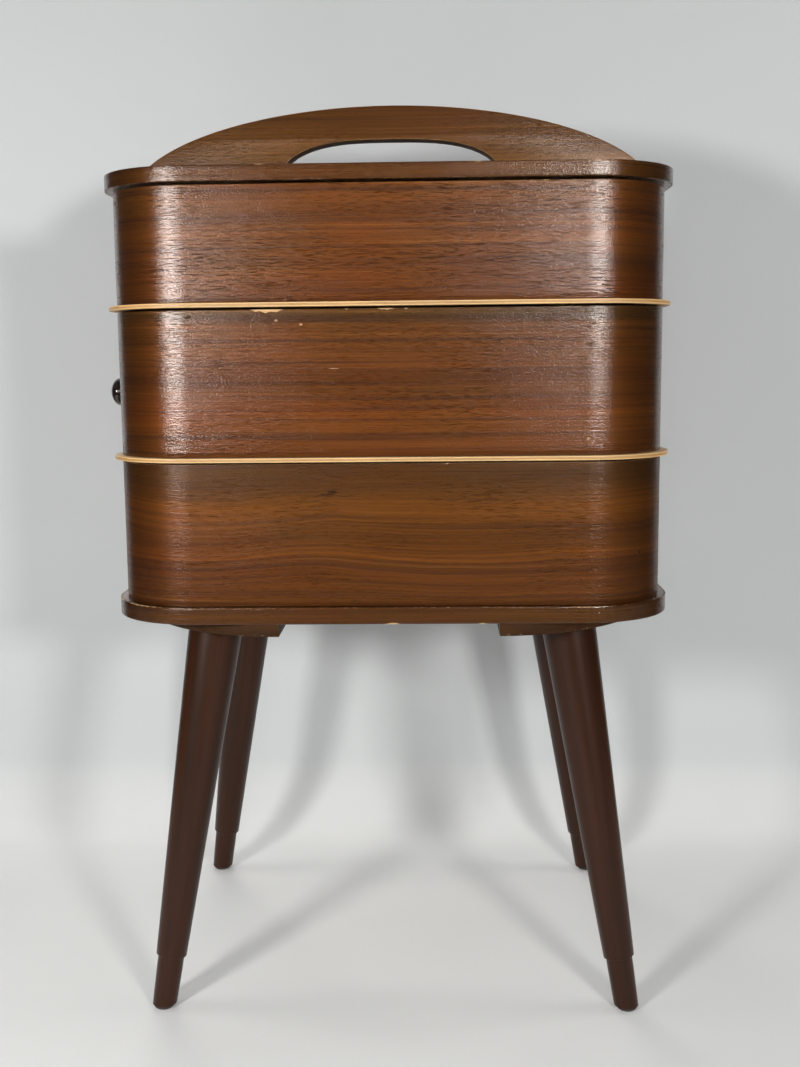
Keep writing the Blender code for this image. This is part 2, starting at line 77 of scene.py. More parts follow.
class Tree:
    """One material and short calls that add nodes to it."""

    def __init__(self, name):
        self.material = bpy.data.materials.new(name)
        self.material.use_nodes = True
        self.nodes = self.material.node_tree.nodes
        self.links = self.material.node_tree.links
        self.shader = self.nodes["Principled BSDF"]

    def put(self, socket, value):
        if isinstance(value, bpy.types.NodeSocket):
            self.links.new(value, socket)
        elif value is not None:
            socket.default_value = value

    def node(self, kind, inputs, **settings):
        node = self.nodes.new("ShaderNode" + kind)
        for key, value in settings.items():
            setattr(node, key, value)
        for key, value in inputs.items():
            self.put(node.inputs[key], value)
        return node

    def attribute(self, name, output="Vector"):
        return self.node("Attribute", {}, attribute_name=name).outputs[output]

    def calc(self, operation, a, b=None, c=None):
        return self.node("Math", {0: a, 1: b, 2: c}, operation=operation).outputs[0]

    def swing(self, value, amount):
        """Maps 0..1 to -amount / 2..amount / 2."""
        return self.calc("MULTIPLY_ADD", value, amount, -amount / 2)

    def noise(self, vector, scale, seed, detail=2.0, roughness=0.5, distortion=0.0):
        """Noise from 0 to 1 with scale waves to the metre; each seed gives another part of it."""
        shift = (seed * 1.37, seed * 2.11, seed * 0.73)
        stretched = self.node("VectorMath", {0: vector, 1: scale, 2: shift}, operation="MULTIPLY_ADD")
        sockets = {"Vector": stretched.outputs[0], "Scale": 1.0, "Detail": detail, "Roughness": roughness,
                   "Distortion": distortion}
        return self.node("TexNoise", sockets).outputs[0]

    def span(self, value, low, high, to_low=0.0, to_high=1.0):
        """Maps low..high to to_low..to_high and clamps."""
        return self.node("MapRange", {0: value, 1: low, 2: high, 3: to_low, 4: to_high}).outputs[0]

    def blend(self, factor, a, b, kind="MIX"):
        a, b = ((*c, 1.0) if isinstance(c, tuple) else c for c in (a, b))
        return self.node("Mix", {0: factor, 6: a, 7: b}, data_type="RGBA", blend_type=kind).outputs[2]

    def tint(self, colour, value):
        """Multiplies a colour by a number from a socket."""
        grey = self.node("CombineColor", {0: value, 1: value, 2: value}).outputs[0]
        return self.blend(1.0, colour, grey, "MULTIPLY")

    def ramp(self, value, stops):
        node = self.node("ValToRGB", {0: value})
        elements = node.color_ramp.elements
        while len(elements) < len(stops):
            elements.new(1.0)
        for element, (place, colour) in zip(elements, stops):
            element.position = place
            element.color = (*colour, 1.0)
        return node.outputs[0]

    def split(self, vector):
        return self.node("SeparateXYZ", {0: vector}).outputs

    def bump(self, socket, height, depth):
        node = self.node("Bump", {"Height": height, "Distance": depth, "Strength": 1.0})
        self.put(self.shader.inputs[socket], node.outputs[0])

    def finish(self, colour=None, roughness=None, height=None, depth=0.0001, **fixed):
        """Wires colour, roughness and a height in units of depth; fixed values go on the shader itself."""
        self.put(self.shader.inputs["Base Color"], colour)
        self.put(self.shader.inputs["Roughness"], roughness)
        for key, value in fixed.items():
            self.shader.inputs[key.replace("_", " ")].default_value = value
        if height is not None:
            self.bump("Normal", height, depth)
        return self.material


# ---------------------------------------------------------------- materials
# The attribute "grain" holds places in metres: along the grain, across it, and into the wood.
# The attribute for wear is 1 where the finish or the veneer is gone; on the base's ledge and on some arrises
# it also carries painted highlights, which show in the bare-wood colour.

def wood_lines(tree, seed, wave):
    """The parts that make a sliced veneer's figure, each from 0 to 1, and the bent coordinates."""
    grain = tree.attribute("grain")
    slow = tree.noise(grain, (4.0, 11.0, 11.0), seed, 2.0)
    ripple = tree.noise(grain, (38.0, 70.0, 70.0), seed + 1, 2.0)
    drift = tree.calc("ADD", tree.swing(slow, wave), tree.swing(ripple, wave * 0.16))
    shift = tree.node("CombineXYZ", {1: drift}).outputs[0]
    bent = tree.node("VectorMath", {0: grain, 1: shift}, operation="ADD").outputs[0]
    return {
        "bent": bent,
        "broad": tree.noise(bent, (1.5, 42.0, 9.0), seed + 2, 4.0, 0.62),
        "line": tree.noise(bent, (2.2, 240.0, 20.0), seed + 3, 3.0, 0.6),
        "fine": tree.noise(bent, (6.0, 726.0, 60.0), seed + 4, 4.0, 0.7),
        "patch": tree.noise(bent, (7.0, 16.0, 9.0), seed + 5, 2.0),
        "pore": tree.noise(bent, (130.0, 2000.0, 700.0), seed + 6, 1.0, 0.5),
        "cluster": tree.noise(bent, (9.0, 26.0, 20.0), seed + 7, 2.0, 0.5),
        "peel": tree.noise(bent, (750.0, 1200.0, 1200.0), seed + 8, 1.0),
    }


FIBRE_GLOSS = 0.72          # share of a veneer's light that its fibres throw back as a coloured sheen
FIBRE_ROUGH = 0.50          # roughness of that sheen
STAIN = (0.55, 0.48, 0.172) # how far the stain darkens the bands' colours
CORE_AND_HIGHLIGHT = (0.62, 0.42, 0.22)   # bare wood under the veneer, and the colour of the painted highlights on arrises


def spots(tree, places):
    """1 inside small ellipses at (along, across, half length, half width) in wood coordinates."""
    grain = tree.attribute("grain")
    ragged = tree.noise(grain, (500.0, 900.0, 900.0), 77, 2.0)
    total = None
    for along, across, half_length, half_width in places:
        scale = (1 / half_length, 1 / half_width, 0.0)
        offset = (-along / half_length, -across / half_width, 0.0)
        local = tree.node("VectorMath", {0: grain, 1: scale, 2: offset}, operation="MULTIPLY_ADD")
        distance = tree.node("VectorMath", {0: local.outputs[0]}, operation="LENGTH").outputs[1]
        distance = tree.calc("ADD", distance, tree.swing(ragged, 1.2))
        spot = tree.span(distance, 1.15, 0.65)
        total = spot if total is None else tree.calc("MAXIMUM", total, spot)
    return total


def walnut(name, seed, height, bands, wave, contrast, pores=1.0, coat=1.0, coat_roughness=0.18, drift=0.24,
           knots=(), nicks=()):
    """Stained, lacquered walnut veneer. bands are colours by share of the height, foot first.

    wave is how far the lines wander, in metres, and drift how far the bands fray, as a share of the height.
    knots are dark and nicks are pale marks, as spots() takes them.
    """
    tree = Tree(name)
    part = wood_lines(tree, seed, wave)
    level = tree.calc("DIVIDE", tree.split(part["bent"])[1], height)
    level = tree.calc("ADD", level, tree.swing(part["broad"], drift))
    colour = tree.ramp(level, [(at, tuple(c * s for c, s in zip(shade, STAIN))) for at, shade in bands])
    dark_line = tree.span(part["line"], 0.53, 0.66, 0.0, 0.62 * contrast)
    colour = tree.blend(dark_line, colour, (0.035, 0.013, 0.006))
    light_line = tree.span(part["line"], 0.40, 0.28, 0.0, 0.30 * contrast)
    colour = tree.blend(light_line, colour, (0.30, 0.125, 0.026))
    broad = tree.span(part["broad"], 0.30, 0.70, 1.0 + 0.22 * contrast, 1.0 - 0.25 * contrast)
    colour = tree.tint(colour, broad)
    colour = tree.tint(colour, tree.span(part["fine"], 0.28, 0.72, 1.24, 0.72))
    red = tree.span(part["patch"], 0.42, 0.68, 0.0, 0.5)
    colour = tree.blend(red, colour, tree.blend(1.0, colour, (1.12, 0.88, 0.72), "MULTIPLY"))
    pore = tree.span(part["pore"], 0.58, 0.66)
    pore = tree.calc("MULTIPLY", pore, tree.span(part["cluster"], 0.38, 0.66, 0.25, 1.0))
    colour = tree.blend(tree.calc("MULTIPLY", pore, 0.48 * pores), colour, (0.022, 0.010, 0.004))
    if knots:
        dark = tree.calc("MULTIPLY", spots(tree, knots), 0.85)
        colour = tree.blend(dark, colour, (0.020, 0.008, 0.003))
    # Where the wear attribute is high the colour turns to bare wood: real chips and wear, and painted
    # highlights on some arrises and on the base's ledge.
    wear_and_painted_highlight = wear_and_highlight_mask(tree, seed + 9)
    if nicks:
        wear_and_painted_highlight = tree.calc("MAXIMUM", wear_and_painted_highlight, tree.calc("MULTIPLY", spots(tree, nicks), 0.55))
    colour = tree.blend(wear_and_painted_highlight, colour, CORE_AND_HIGHLIGHT)
    rough = tree.span(part["fine"], 0.3, 0.7, FIBRE_ROUGH - 0.03, FIBRE_ROUGH + 0.07)
    rough = tree.calc("ADD", rough, tree.calc("MULTIPLY", pore, 0.22))
    rough = tree.calc("ADD", rough, tree.calc("MULTIPLY", wear_and_painted_highlight, 0.3))
    height_map = tree.calc("MULTIPLY_ADD", pore, -0.8 * pores, tree.calc("MULTIPLY", part["fine"], 0.30))
    tree.bump("Coat Normal", tree.calc("MULTIPLY_ADD", part["peel"], 1.2, part["fine"]), 0.00014)
    tree.put(tree.shader.inputs["Coat Weight"], tree.span(pore, 0.0, 0.5, coat, 0.05 * coat))
    return tree.finish(colour, rough, height_map, 0.00015, Metallic=FIBRE_GLOSS, Specular_IOR_Level=0.1,
                       Coat_Roughness=coat_roughness, Coat_IOR=1.5)


def wear_and_highlight_mask(tree, seed):
    """The attribute for wear and painted highlights, with a ragged edge."""
    ragged = tree.noise(tree.attribute("grain"), (260.0, 900.0, 500.0), seed, 3.0, 0.7)
    wear_and_painted_highlight = tree.calc("ADD", tree.attribute("wear_and_painted_highlight", "Fac"), tree.swing(ragged, 1.1))
    return tree.span(wear_and_painted_highlight, 0.46, 0.60)


def plain_wood(name, seed, light, dark, rough=0.5, scale=1.0, lines=1.0, depth=0.00015, coat=0.0, fleck=0.0,
               level=0.4):
    """Solid wood whose rings and fibres run along the first grain coordinate."""
    tree = Tree(name)
    grain = tree.attribute("grain")
    wave = tree.noise(grain, (9.0, 30.0, 30.0), seed, 2.0)
    across = 120.0 * scale
    ring = tree.noise(grain, (3.0 * scale, across, across), seed + 1, 3.0, 0.6, 0.4)
    fibre = tree.noise(grain, (22.0, 900.0 * scale, 900.0 * scale), seed + 2, 3.0, 0.65)
    ray = tree.noise(grain, (300.0, 1400.0, 1400.0), seed + 3, 1.0)
    colour = tree.blend(tree.span(ring, 0.35, 0.68, 0.0, lines), light, dark)
    colour = tree.tint(colour, tree.span(fibre, 0.3, 0.7, 1.13, 0.84))
    colour = tree.tint(colour, tree.span(wave, 0.3, 0.7, 0.92, 1.08))
    if fleck:
        colour = tree.blend(tree.span(ray, 0.62, 0.72, 0.0, fleck), colour, dark)
    wear_and_painted_highlight = wear_and_highlight_mask(tree, seed + 4)
    colour = tree.blend(tree.calc("MULTIPLY", wear_and_painted_highlight, 0.8), colour, (0.50, 0.33, 0.18))
    roughness = tree.span(fibre, 0.3, 0.7, rough - 0.05, rough + 0.08)
    height = tree.calc("ADD", tree.calc("MULTIPLY", fibre, 0.6), tree.calc("MULTIPLY", ring, 0.5))
    return tree.finish(colour, roughness, height, depth, Specular_IOR_Level=level, Coat_Weight=coat,
                       Coat_Roughness=0.25)


def three_ply_edge():
    """Edge of the tray plates: pale outer plies with long grain, a browner middle ply of end grain."""
    tree = Tree("three_ply_edge")
    grain = tree.attribute("grain")
    across = tree.split(grain)[1]          # height as a share of the thickness, 0 to 1
    from_middle = tree.calc("ABSOLUTE", tree.calc("SUBTRACT", across, 0.5))
    wobble = tree.noise(grain, (60.0, 0.0, 0.0), 3, 2.0)
    place = tree.calc("ADD", from_middle, tree.swing(wobble, 0.06))
    outer = tree.span(place, 0.15, 0.20)
    long_grain = tree.noise(grain, (18.0, 9.0, 0.0), 5, 4.0, 0.7)
    end_grain = tree.noise(grain, (1300.0, 9.0, 0.0), 7, 2.0)
    pale = tree.blend(tree.span(long_grain, 0.3, 0.7), (0.76, 0.51, 0.24), (0.60, 0.36, 0.14))
    brown = tree.blend(tree.span(end_grain, 0.35, 0.65), (0.52, 0.295, 0.105), (0.38, 0.20, 0.065))
    colour = tree.blend(outer, brown, pale)
    glue = tree.calc("MULTIPLY", tree.span(place, 0.125, 0.155), tree.span(place, 0.20, 0.17))
    colour = tree.blend(tree.calc("MULTIPLY", glue, 0.6), colour, (0.20, 0.095, 0.035))
    stain = tree.noise(grain, (14.0, 1.0, 0.0), 11, 3.0, 0.6)
    colour = tree.tint(colour, tree.span(stain, 0.3, 0.72, 1.10, 0.74))
    dirt = tree.noise(grain, (240.0, 4.0, 0.0), 13, 2.0)
    colour = tree.blend(tree.span(dirt, 0.66, 0.78, 0.0, 0.55), colour, (0.16, 0.08, 0.035))
    height = tree.calc("ADD", tree.calc("MULTIPLY", outer, 0.8), tree.calc("MULTIPLY", end_grain, 0.5))
    return tree.finish(colour, tree.span(long_grain, 0.3, 0.7, 0.36, 0.5), height, 0.00015, Coat_Weight=0.1,
                       Coat_Roughness=0.3)


def wall_rim():
    """Sawn top of a bent wall: plies side by side, seen from above."""
    tree = Tree("wall_rim")
    grain = tree.attribute("grain")
    into = tree.split(grain)[2]
    wobble = tree.noise(grain, (30.0, 0.0, 0.0), 2, 2.0)
    place = tree.calc("ADD", into, tree.swing(wobble, 0.0003))
    share = tree.calc("DIVIDE", place, WALL_THICK)
    fibre = tree.noise(grain, (35.0, 1500.0, 1500.0), 4, 3.0, 0.7)
    plies = tree.ramp(share, [
        (0.00, (0.12, 0.045, 0.018)), (0.14, (0.13, 0.05, 0.02)), (0.18, (0.55, 0.36, 0.18)),
        (0.46, (0.60, 0.41, 0.22)), (0.52, (0.36, 0.21, 0.10)), (0.72, (0.38, 0.23, 0.11)),
        (0.78, (0.60, 0.42, 0.23)), (1.00, (0.62, 0.45, 0.26))])
    colour = tree.tint(plies, tree.span(fibre, 0.3, 0.7, 1.12, 0.82))
    return tree.finish(colour, tree.span(fibre, 0.3, 0.7, 0.45, 0.6), fibre, 0.0001)


def metal(name, colour, rough, stain, seed):
    """Plated or turned metal with fine scratches and a little tarnish."""
    tree = Tree(name)
    grain = tree.attribute("grain")
    scratch = tree.noise(grain, (900.0, 900.0, 900.0), seed, 3.0, 0.7)
    cloud = tree.noise(grain, (160.0, 160.0, 160.0), seed + 1, 3.0, 0.6)
    shade = tree.blend(tree.span(cloud, 0.45, 0.7, 0.0, 0.55), colour, stain)
    roughness = tree.calc("ADD", tree.span(scratch, 0.3, 0.7, rough - 0.06, rough + 0.12),
                          tree.span(cloud, 0.45, 0.7, 0.0, 0.12))
    return tree.finish(shade, roughness, scratch, 0.00003, Metallic=1.0)


def plastic(name, colour, rough, speck, seed, coat=0.0):
    """Moulded plastic with faint flow marks and fine scuffs."""
    tree = Tree(name)
    grain = tree.attribute("grain")
    flow = tree.noise(grain, (220.0, 220.0, 220.0), seed, 2.0)
    scuff = tree.noise(grain, (700.0, 2600.0, 1800.0), seed + 1, 3.0, 0.7)
    shade = tree.blend(tree.span(flow, 0.35, 0.7, 0.0, 0.6), colour, speck)
    roughness = tree.calc("ADD", tree.span(flow, 0.3, 0.7, rough - 0.02, rough + 0.04),
                          tree.span(scuff, 0.60, 0.72, 0.0, 0.18))
    return tree.finish(shade, roughness, scuff, 0.00001, Coat_Weight=coat, Coat_Roughness=0.05)


# Colours of the veneers by share of the height, foot first
LOWER_BANDS = [(0.00, (0.165, 0.058, 0.019)), (0.20, (0.170, 0.056, 0.019)), (0.325, (0.135, 0.045, 0.016)),
               (0.355, (0.270, 0.092, 0.022)), (0.43, (0.235, 0.082, 0.021)), (0.50, (0.175, 0.062, 0.019)),
               (0.62, (0.205, 0.074, 0.021)), (0.74, (0.230, 0.084, 0.023)), (0.83, (0.150, 0.060, 0.024)),
               (1.00, (0.135, 0.060, 0.029))]
MIDDLE_BANDS = [(0.00, (0.170, 0.056, 0.018)), (0.18, (0.200, 0.068, 0.020)), (0.33, (0.205, 0.064, 0.019)),
                (0.47, (0.185, 0.064, 0.020)), (0.56, (0.140, 0.046, 0.016)), (0.64, (0.190, 0.064, 0.020)),
                (0.80, (0.195, 0.068, 0.021)), (0.90, (0.170, 0.064, 0.022)), (0.94, (0.105, 0.048, 0.020)),
                (1.00, (0.100, 0.052, 0.022))]
UPPER_BANDS = [(0.00, (0.180, 0.062, 0.022)), (0.20, (0.190, 0.063, 0.021)), (0.30, (0.150, 0.052, 0.020)),
               (0.38, (0.185, 0.064, 0.022)), (0.60, (0.200, 0.068, 0.022)), (0.74, (0.140, 0.048, 0.017)),
               (0.82, (0.190, 0.068, 0.024)), (1.00, (0.210, 0.078, 0.026))]
HANDLE_BANDS = [(0.00, (0.230, 0.110, 0.034)), (0.30, (0.205, 0.094, 0.030)), (0.60, (0.160, 0.066, 0.022)),
                (1.00, (0.140, 0.056, 0.020))]
BOARD_BANDS = [(0.00, (0.170, 0.064, 0.022)), (0.35, (0.200, 0.075, 0.024)), (0.70, (0.160, 0.058, 0.020)),
               (1.00, (0.190, 0.070, 0.023))]
EDGE_BANDS = [(0.00, (0.120, 0.046, 0.015)), (0.45, (0.135, 0.054, 0.017)), (1.00, (0.115, 0.045, 0.016))]



def wall_height(tier):
    return box_of(f"{tier}_shell")[3].z


MATERIALS = {
    "veneer_lower": walnut("walnut_lower", 11, wall_height("lower"), LOWER_BANDS, wave=0.010, contrast=0.72,
                           drift=0.10, coat=0.5, coat_roughness=0.24,
                           knots=[(-0.042, 0.0885, 0.0042, 0.0014), (-0.047, 0.0865, 0.0070, 0.0007),
                                  (0.196, 0.038, 0.0013, 0.0012)]),
    "veneer_middle": walnut("walnut_middle", 23, wall_height("middle"), MIDDLE_BANDS, wave=0.004,
                            contrast=0.86,
                            nicks=[(-0.0815, 0.1015, 0.0011, 0.0008), (-0.0630, 0.0984, 0.0013, 0.0009),
                                   (-0.0390, 0.0658, 0.0034, 0.0003), (0.1500, 0.0120, 0.0012, 0.0009)]),
    "veneer_upper": walnut("walnut_upper", 37, wall_height("upper"), UPPER_BANDS, wave=0.006, contrast=0.86,
                           pores=1.3, drift=0.16),
    "veneer_handle": walnut("walnut_handle", 41, HANDLE_HEIGHT, HANDLE_BANDS, wave=0.006, contrast=0.6,
                            pores=0.9, coat=0.7, coat_roughness=0.24),
    "veneer_board": walnut("walnut_boards", 53, 0.32, BOARD_BANDS, wave=0.02, contrast=0.9),
    "veneer_edge": walnut("walnut_edge", 61, 0.012, EDGE_BANDS, wave=0.001, contrast=0.55, pores=0.7),
    # The handle's rim is painted paler than its faces: partly pale edge wood, partly a painted highlight
    # where light falls on it from above.
    "handle_rim_with_painted_highlight": plain_wood("handle_rim_with_painted_highlight", 71, (0.42, 0.24, 0.095), (0.24, 0.12, 0.045), rough=0.42,
                             coat=0.1),
    "slot_rim": plain_wood("slot_rim", 73, (0.080, 0.036, 0.018), (0.045, 0.020, 0.011), rough=0.5),
    "rim": wall_rim(),
    "inside": plain_wood("wall_inside", 83, (0.60, 0.41, 0.22), (0.47, 0.29, 0.14), rough=0.5, coat=0.05,
                         depth=0.0001, fleck=0.3),
    "ply_face": plain_wood("plywood_face", 89, (0.62, 0.43, 0.23), (0.50, 0.32, 0.15), rough=0.52,
                           scale=0.35, lines=0.8, fleck=0.2),
    "ply_edge": three_ply_edge(),
    "leg_wood": plain_wood("stained_leg", 97, (0.034, 0.010, 0.003), (0.017, 0.006, 0.002), rough=0.34,
                           lines=0.8, depth=0.00007, coat=0.10, level=0.2),
    "leg_board": plain_wood("stained_leg_board", 101, (0.046, 0.017, 0.003), (0.020, 0.007, 0.001),
                            rough=0.5, scale=0.8, level=0.15),
    "post_wood": plain_wood("plain_beech", 103, (0.60, 0.40, 0.22), (0.48, 0.29, 0.14), rough=0.55,
                            fleck=0.5),
    "steel": metal("zinc_plated_steel", (0.62, 0.62, 0.60), 0.30, stain=(0.42, 0.40, 0.36), seed=5),
    "brass": metal("brass", (0.72, 0.50, 0.20), 0.26, stain=(0.42, 0.26, 0.10), seed=9),
    "glide": plastic("glide_plastic", (0.020, 0.017, 0.016), 0.45, (0.045, 0.038, 0.033), seed=13),
    "knob": plastic("knob_plastic", (0.010, 0.005, 0.005), 0.10, (0.018, 0.007, 0.006), seed=17, coat=0.6),
}


# ---------------------------------------------------------------- shapes

class Outline:
    """A rounded rectangle from above. Distance along it starts at the middle of the rear, left first."""

    def __init__(self, middle, half_x, half_y, corner_r):
        self.x, self.y = middle.x, middle.y
        self.flat_x, self.flat_y, self.r = half_x - corner_r, half_y - corner_r, corner_r
        quarter = math.pi / 2 * corner_r
        a, b = self.flat_x, self.flat_y
        self.lengths = [a, quarter, 2 * b, quarter, 2 * a, quarter, 2 * b, quarter, a]
        self.starts = np.concatenate([[0], np.cumsum(self.lengths)])
        self.total = float(self.starts[-1])

    def stations(self, step, corner_steps):
        """Rows (x, y, outward x, outward y, distance) round the outline."""
        a, b, r = self.flat_x, self.flat_y, self.r
        ends = [((0, b), 90), ((-a, b), 90), ((-a, b), 180), ((-a, -b), 180), ((-a, -b), 270),
                ((a, -b), 270), ((a, -b), 360), ((a, b), 360), ((a, b), 450)]
        rows = []
        for index, ((cx, cy), angle) in enumerate(ends):
            corner = index % 2 == 1
            length = self.lengths[index]
            count = corner_steps if corner else max(1, round(length / step))
            next_centre = ends[(index + 1) % 9][0] if index < 8 else (0, b)
            for i in range(count):
                share = i / count
                turn = math.radians(angle + (90 * share if corner else 0))
                px = cx if corner else cx + (next_centre[0] - cx) * share
                py = cy if corner else cy + (next_centre[1] - cy) * share
                nx, ny = math.cos(turn), math.sin(turn)
                rows.append((self.x + px + r * nx, self.y + py + r * ny, nx, ny,
                             self.starts[index] + length * share))
        return np.array(rows)

    def along(self, x, y):
        """Distance along the outline of the nearest point, for arrays of places."""
        a, b = self.flat_x, self.flat_y
        x, y = np.asarray(x) - self.x, np.asarray(y) - self.y
        cx, cy = np.clip(x, -a, a), np.clip(y, -b, b)
        turn = np.degrees(np.arctan2(y - cy, x - cx)) % 360
        s = self.starts
        by_corner = [
            (x >= a) & (y >= b), (x <= -a) & (y >= b), (x <= -a) & (y <= -b), (x >= a) & (y <= -b),
            (np.abs(x) < a) & (y > 0), (x < -a), (np.abs(x) < a) & (y <= 0)]
        quarter = self.lengths[1] / 90
        values = [s[7] + turn * quarter, s[1] + (turn - 90) * quarter, s[3] + (turn - 180) * quarter,
                  s[5] + (turn - 270) * quarter, np.where(x > 0, s[8] + a - x, -x),
                  s[2] + b - y, s[4] + x + a]
        return np.select(by_corner, values, s[6] + y + b)


def fillet(points, radius, steps=3, closed=True):
    """Rounds the corners of a polyline; an end point of an open one stays."""
    result = []
    count = len(points)
    for i, point in enumerate(points):
        if not closed and i in (0, count - 1):
            result.append(point)
            continue
        here = Vector(point)
        before, after = Vector(points[i - 1]), Vector(points[(i + 1) % count])
        reach_in, reach_out = (before - here), (after - here)
        straight = reach_in.length < 1e-9 or reach_out.length < 1e-9
        if straight or reach_in.angle(reach_out) > math.radians(172):
            result.append(point)
            continue
        cut = min(radius, reach_in.length * 0.45, reach_out.length * 0.45)
        start, end = here + reach_in.normalized() * cut, here + reach_out.normalized() * cut
        for j in range(steps + 1):
            t = j / steps
            result.append(tuple(start * (1 - t) ** 2 + here * 2 * t * (1 - t) + end * t ** 2))
    return result


def divide(points, step, closed=True):
    """Adds points so that no stretch is longer than step."""
    result = []
    pairs = list(zip(points, points[1:] + points[:1])) if closed else list(zip(points, points[1:]))
    for first, second in pairs:
        first, second = Vector(first), Vector(second)
        parts = max(1, math.ceil((second - first).length / step - 1e-6))
        result += [tuple(first.lerp(second, i / parts)) for i in range(parts)]
    return result if closed else result + [points[-1]]


def object_from(name, data):
    """A new object for a mesh, a curve, a light or a camera, linked to the scene."""
    obj = bpy.data.objects.new(name, data)
    bpy.context.scene.collection.objects.link(obj)
    return obj


def mesh_object(name, vertices, faces):
    mesh = bpy.data.meshes.new(name)
    mesh.from_pydata([tuple(v) for v in vertices], [], faces)
    mesh.validate()
    return object_from(name, mesh)


def form_object(name, form):
    """Turns a bmesh into an object and frees it."""
    mesh = bpy.data.meshes.new(name)
    form.to_mesh(mesh)
    form.free()
    return object_from(name, mesh)


def soften(form, edges):
    """Rounds sharp edges of a bmesh."""
    bmesh.ops.bevel(form, geom=edges, offset=0.0009, segments=3, profile=0.5, affect="EDGES")


def block(size, middle):
    """A rectangular block as a bmesh."""
    form = bmesh.new()
    bmesh.ops.create_cube(form, size=1)
    bmesh.ops.scale(form, vec=size, verts=form.verts)
    bmesh.ops.translate(form, vec=middle, verts=form.verts)
    return form


def grid_faces(rows, columns, closed_columns=True):
    """Quads of a sheet whose rows close on themselves."""
    last = columns if closed_columns else columns - 1
    return [(i * columns + j, (i + 1) % rows * columns + j, (i + 1) % rows * columns + (j + 1) % columns,
             i * columns + (j + 1) % columns) for i in range(rows) for j in range(last)]


def carried(stations, profile, bulge):
    """Vertices of a profile of (outward offset, z) carried round an outline, pushed out by bulge."""
    offset, z = np.array(profile).T
    x, y, nx, ny, s = (stations[:, k:k + 1] for k in range(5))
    out = offset[None, :] + (0 * s if bulge is None else bulge(s, offset[None, :], z[None, :]))
    height = np.broadcast_to(z[None, :], out.shape)
    return np.stack([x + nx * out, y + ny * out, height], axis=-1).reshape(-1, 3)


def swept_ring(name, stations, profile, bulge):
    """A closed profile carried round an outline."""
    return mesh_object(name, carried(stations, profile, bulge), grid_faces(len(stations), len(profile)))


def board(name, stations, profile, bulge=None):
    """An open edge profile that runs up, carried round an outline, with flat faces above and below."""
    rows, columns = len(stations), len(profile)
    faces = grid_faces(rows, columns, closed_columns=False)
    faces.append(tuple(i * columns for i in reversed(range(rows))))
    faces.append(tuple(i * columns + columns - 1 for i in range(rows)))
    return mesh_object(name, carried(stations, profile, bulge), faces)


def lathe(name, profile, closed=False, steps=64):
    """Turns a profile of (radius, z) about Z. An open one runs from the axis out, up and back to it."""
    turns = [2 * math.pi * i / steps for i in range(steps)]
    vertices, rings = [], []
    for radius, z in profile:
        if radius < 1e-7:
            rings.append([len(vertices)] * steps)
            vertices.append((0, 0, z))
        else:
            rings.append(list(range(len(vertices), len(vertices) + steps)))
            vertices += [(radius * math.cos(turn), radius * math.sin(turn), z) for turn in turns]
    faces = []
    for lower, upper in zip(rings, rings[1:] + rings[:1] if closed else rings[1:]):
        for i in range(steps):
            k = (i + 1) % steps
            corners = [lower[i], lower[k], upper[k], upper[i]]
            face = [v for n, v in enumerate(corners) if v not in corners[:n]]
            if len(face) > 2:
                faces.append(face)
    return mesh_object(name, vertices, faces)


def ring_profile(inner_r, outer_r, low, high, edge):
    return fillet([(inner_r, low), (outer_r, low), (outer_r, high), (inner_r, high)], edge, 2)


def place(obj, matrix):
    obj.data.transform(matrix)
    return obj


def stand(obj, axis):
    """Moves what was made round Z to the upright axis through a point."""
    return place(obj, Matrix.Translation((axis.x, axis.y, 0)))


def add_boolean(obj, other, operation):
    modifier = obj.modifiers.new("cut", "BOOLEAN")
    modifier.operation = operation
    modifier.object = other
    modifier.solver = "EXACT"


def drill(obj, *cutters):
    """Cuts other objects out of obj and removes them."""
    for cutter in cutters:
        add_boolean(obj, cutter, "DIFFERENCE")
    bpy.context.view_layer.update()
    evaluated = obj.evaluated_get(bpy.context.evaluated_depsgraph_get())
    mesh = bpy.data.meshes.new_from_object(evaluated)
    obj.modifiers.clear()
    old = obj.data
    obj.data = mesh
    bpy.data.meshes.remove(old)
    for cutter in cutters:
        bpy.data.objects.remove(cutter, do_unlink=True)
    return obj


def bore(axis, radius, low, high):
    return stand(lathe("bore", [(0, low), (radius, low), (radius, high), (0, high)], steps=32), axis)


# ---------------------------------------------------------------- finishing a piece

def read_all(items, key):
    """A vector of each item of a mesh, as rows."""
    values = np.zeros(len(items) * 3)
    items.foreach_get(key, values)
    return values.reshape(-1, 3)


def read_counts(items, key):
    """A whole number of each item of a mesh."""
    values = np.zeros(len(items), np.int64)
    items.foreach_get(key, values)
    return values


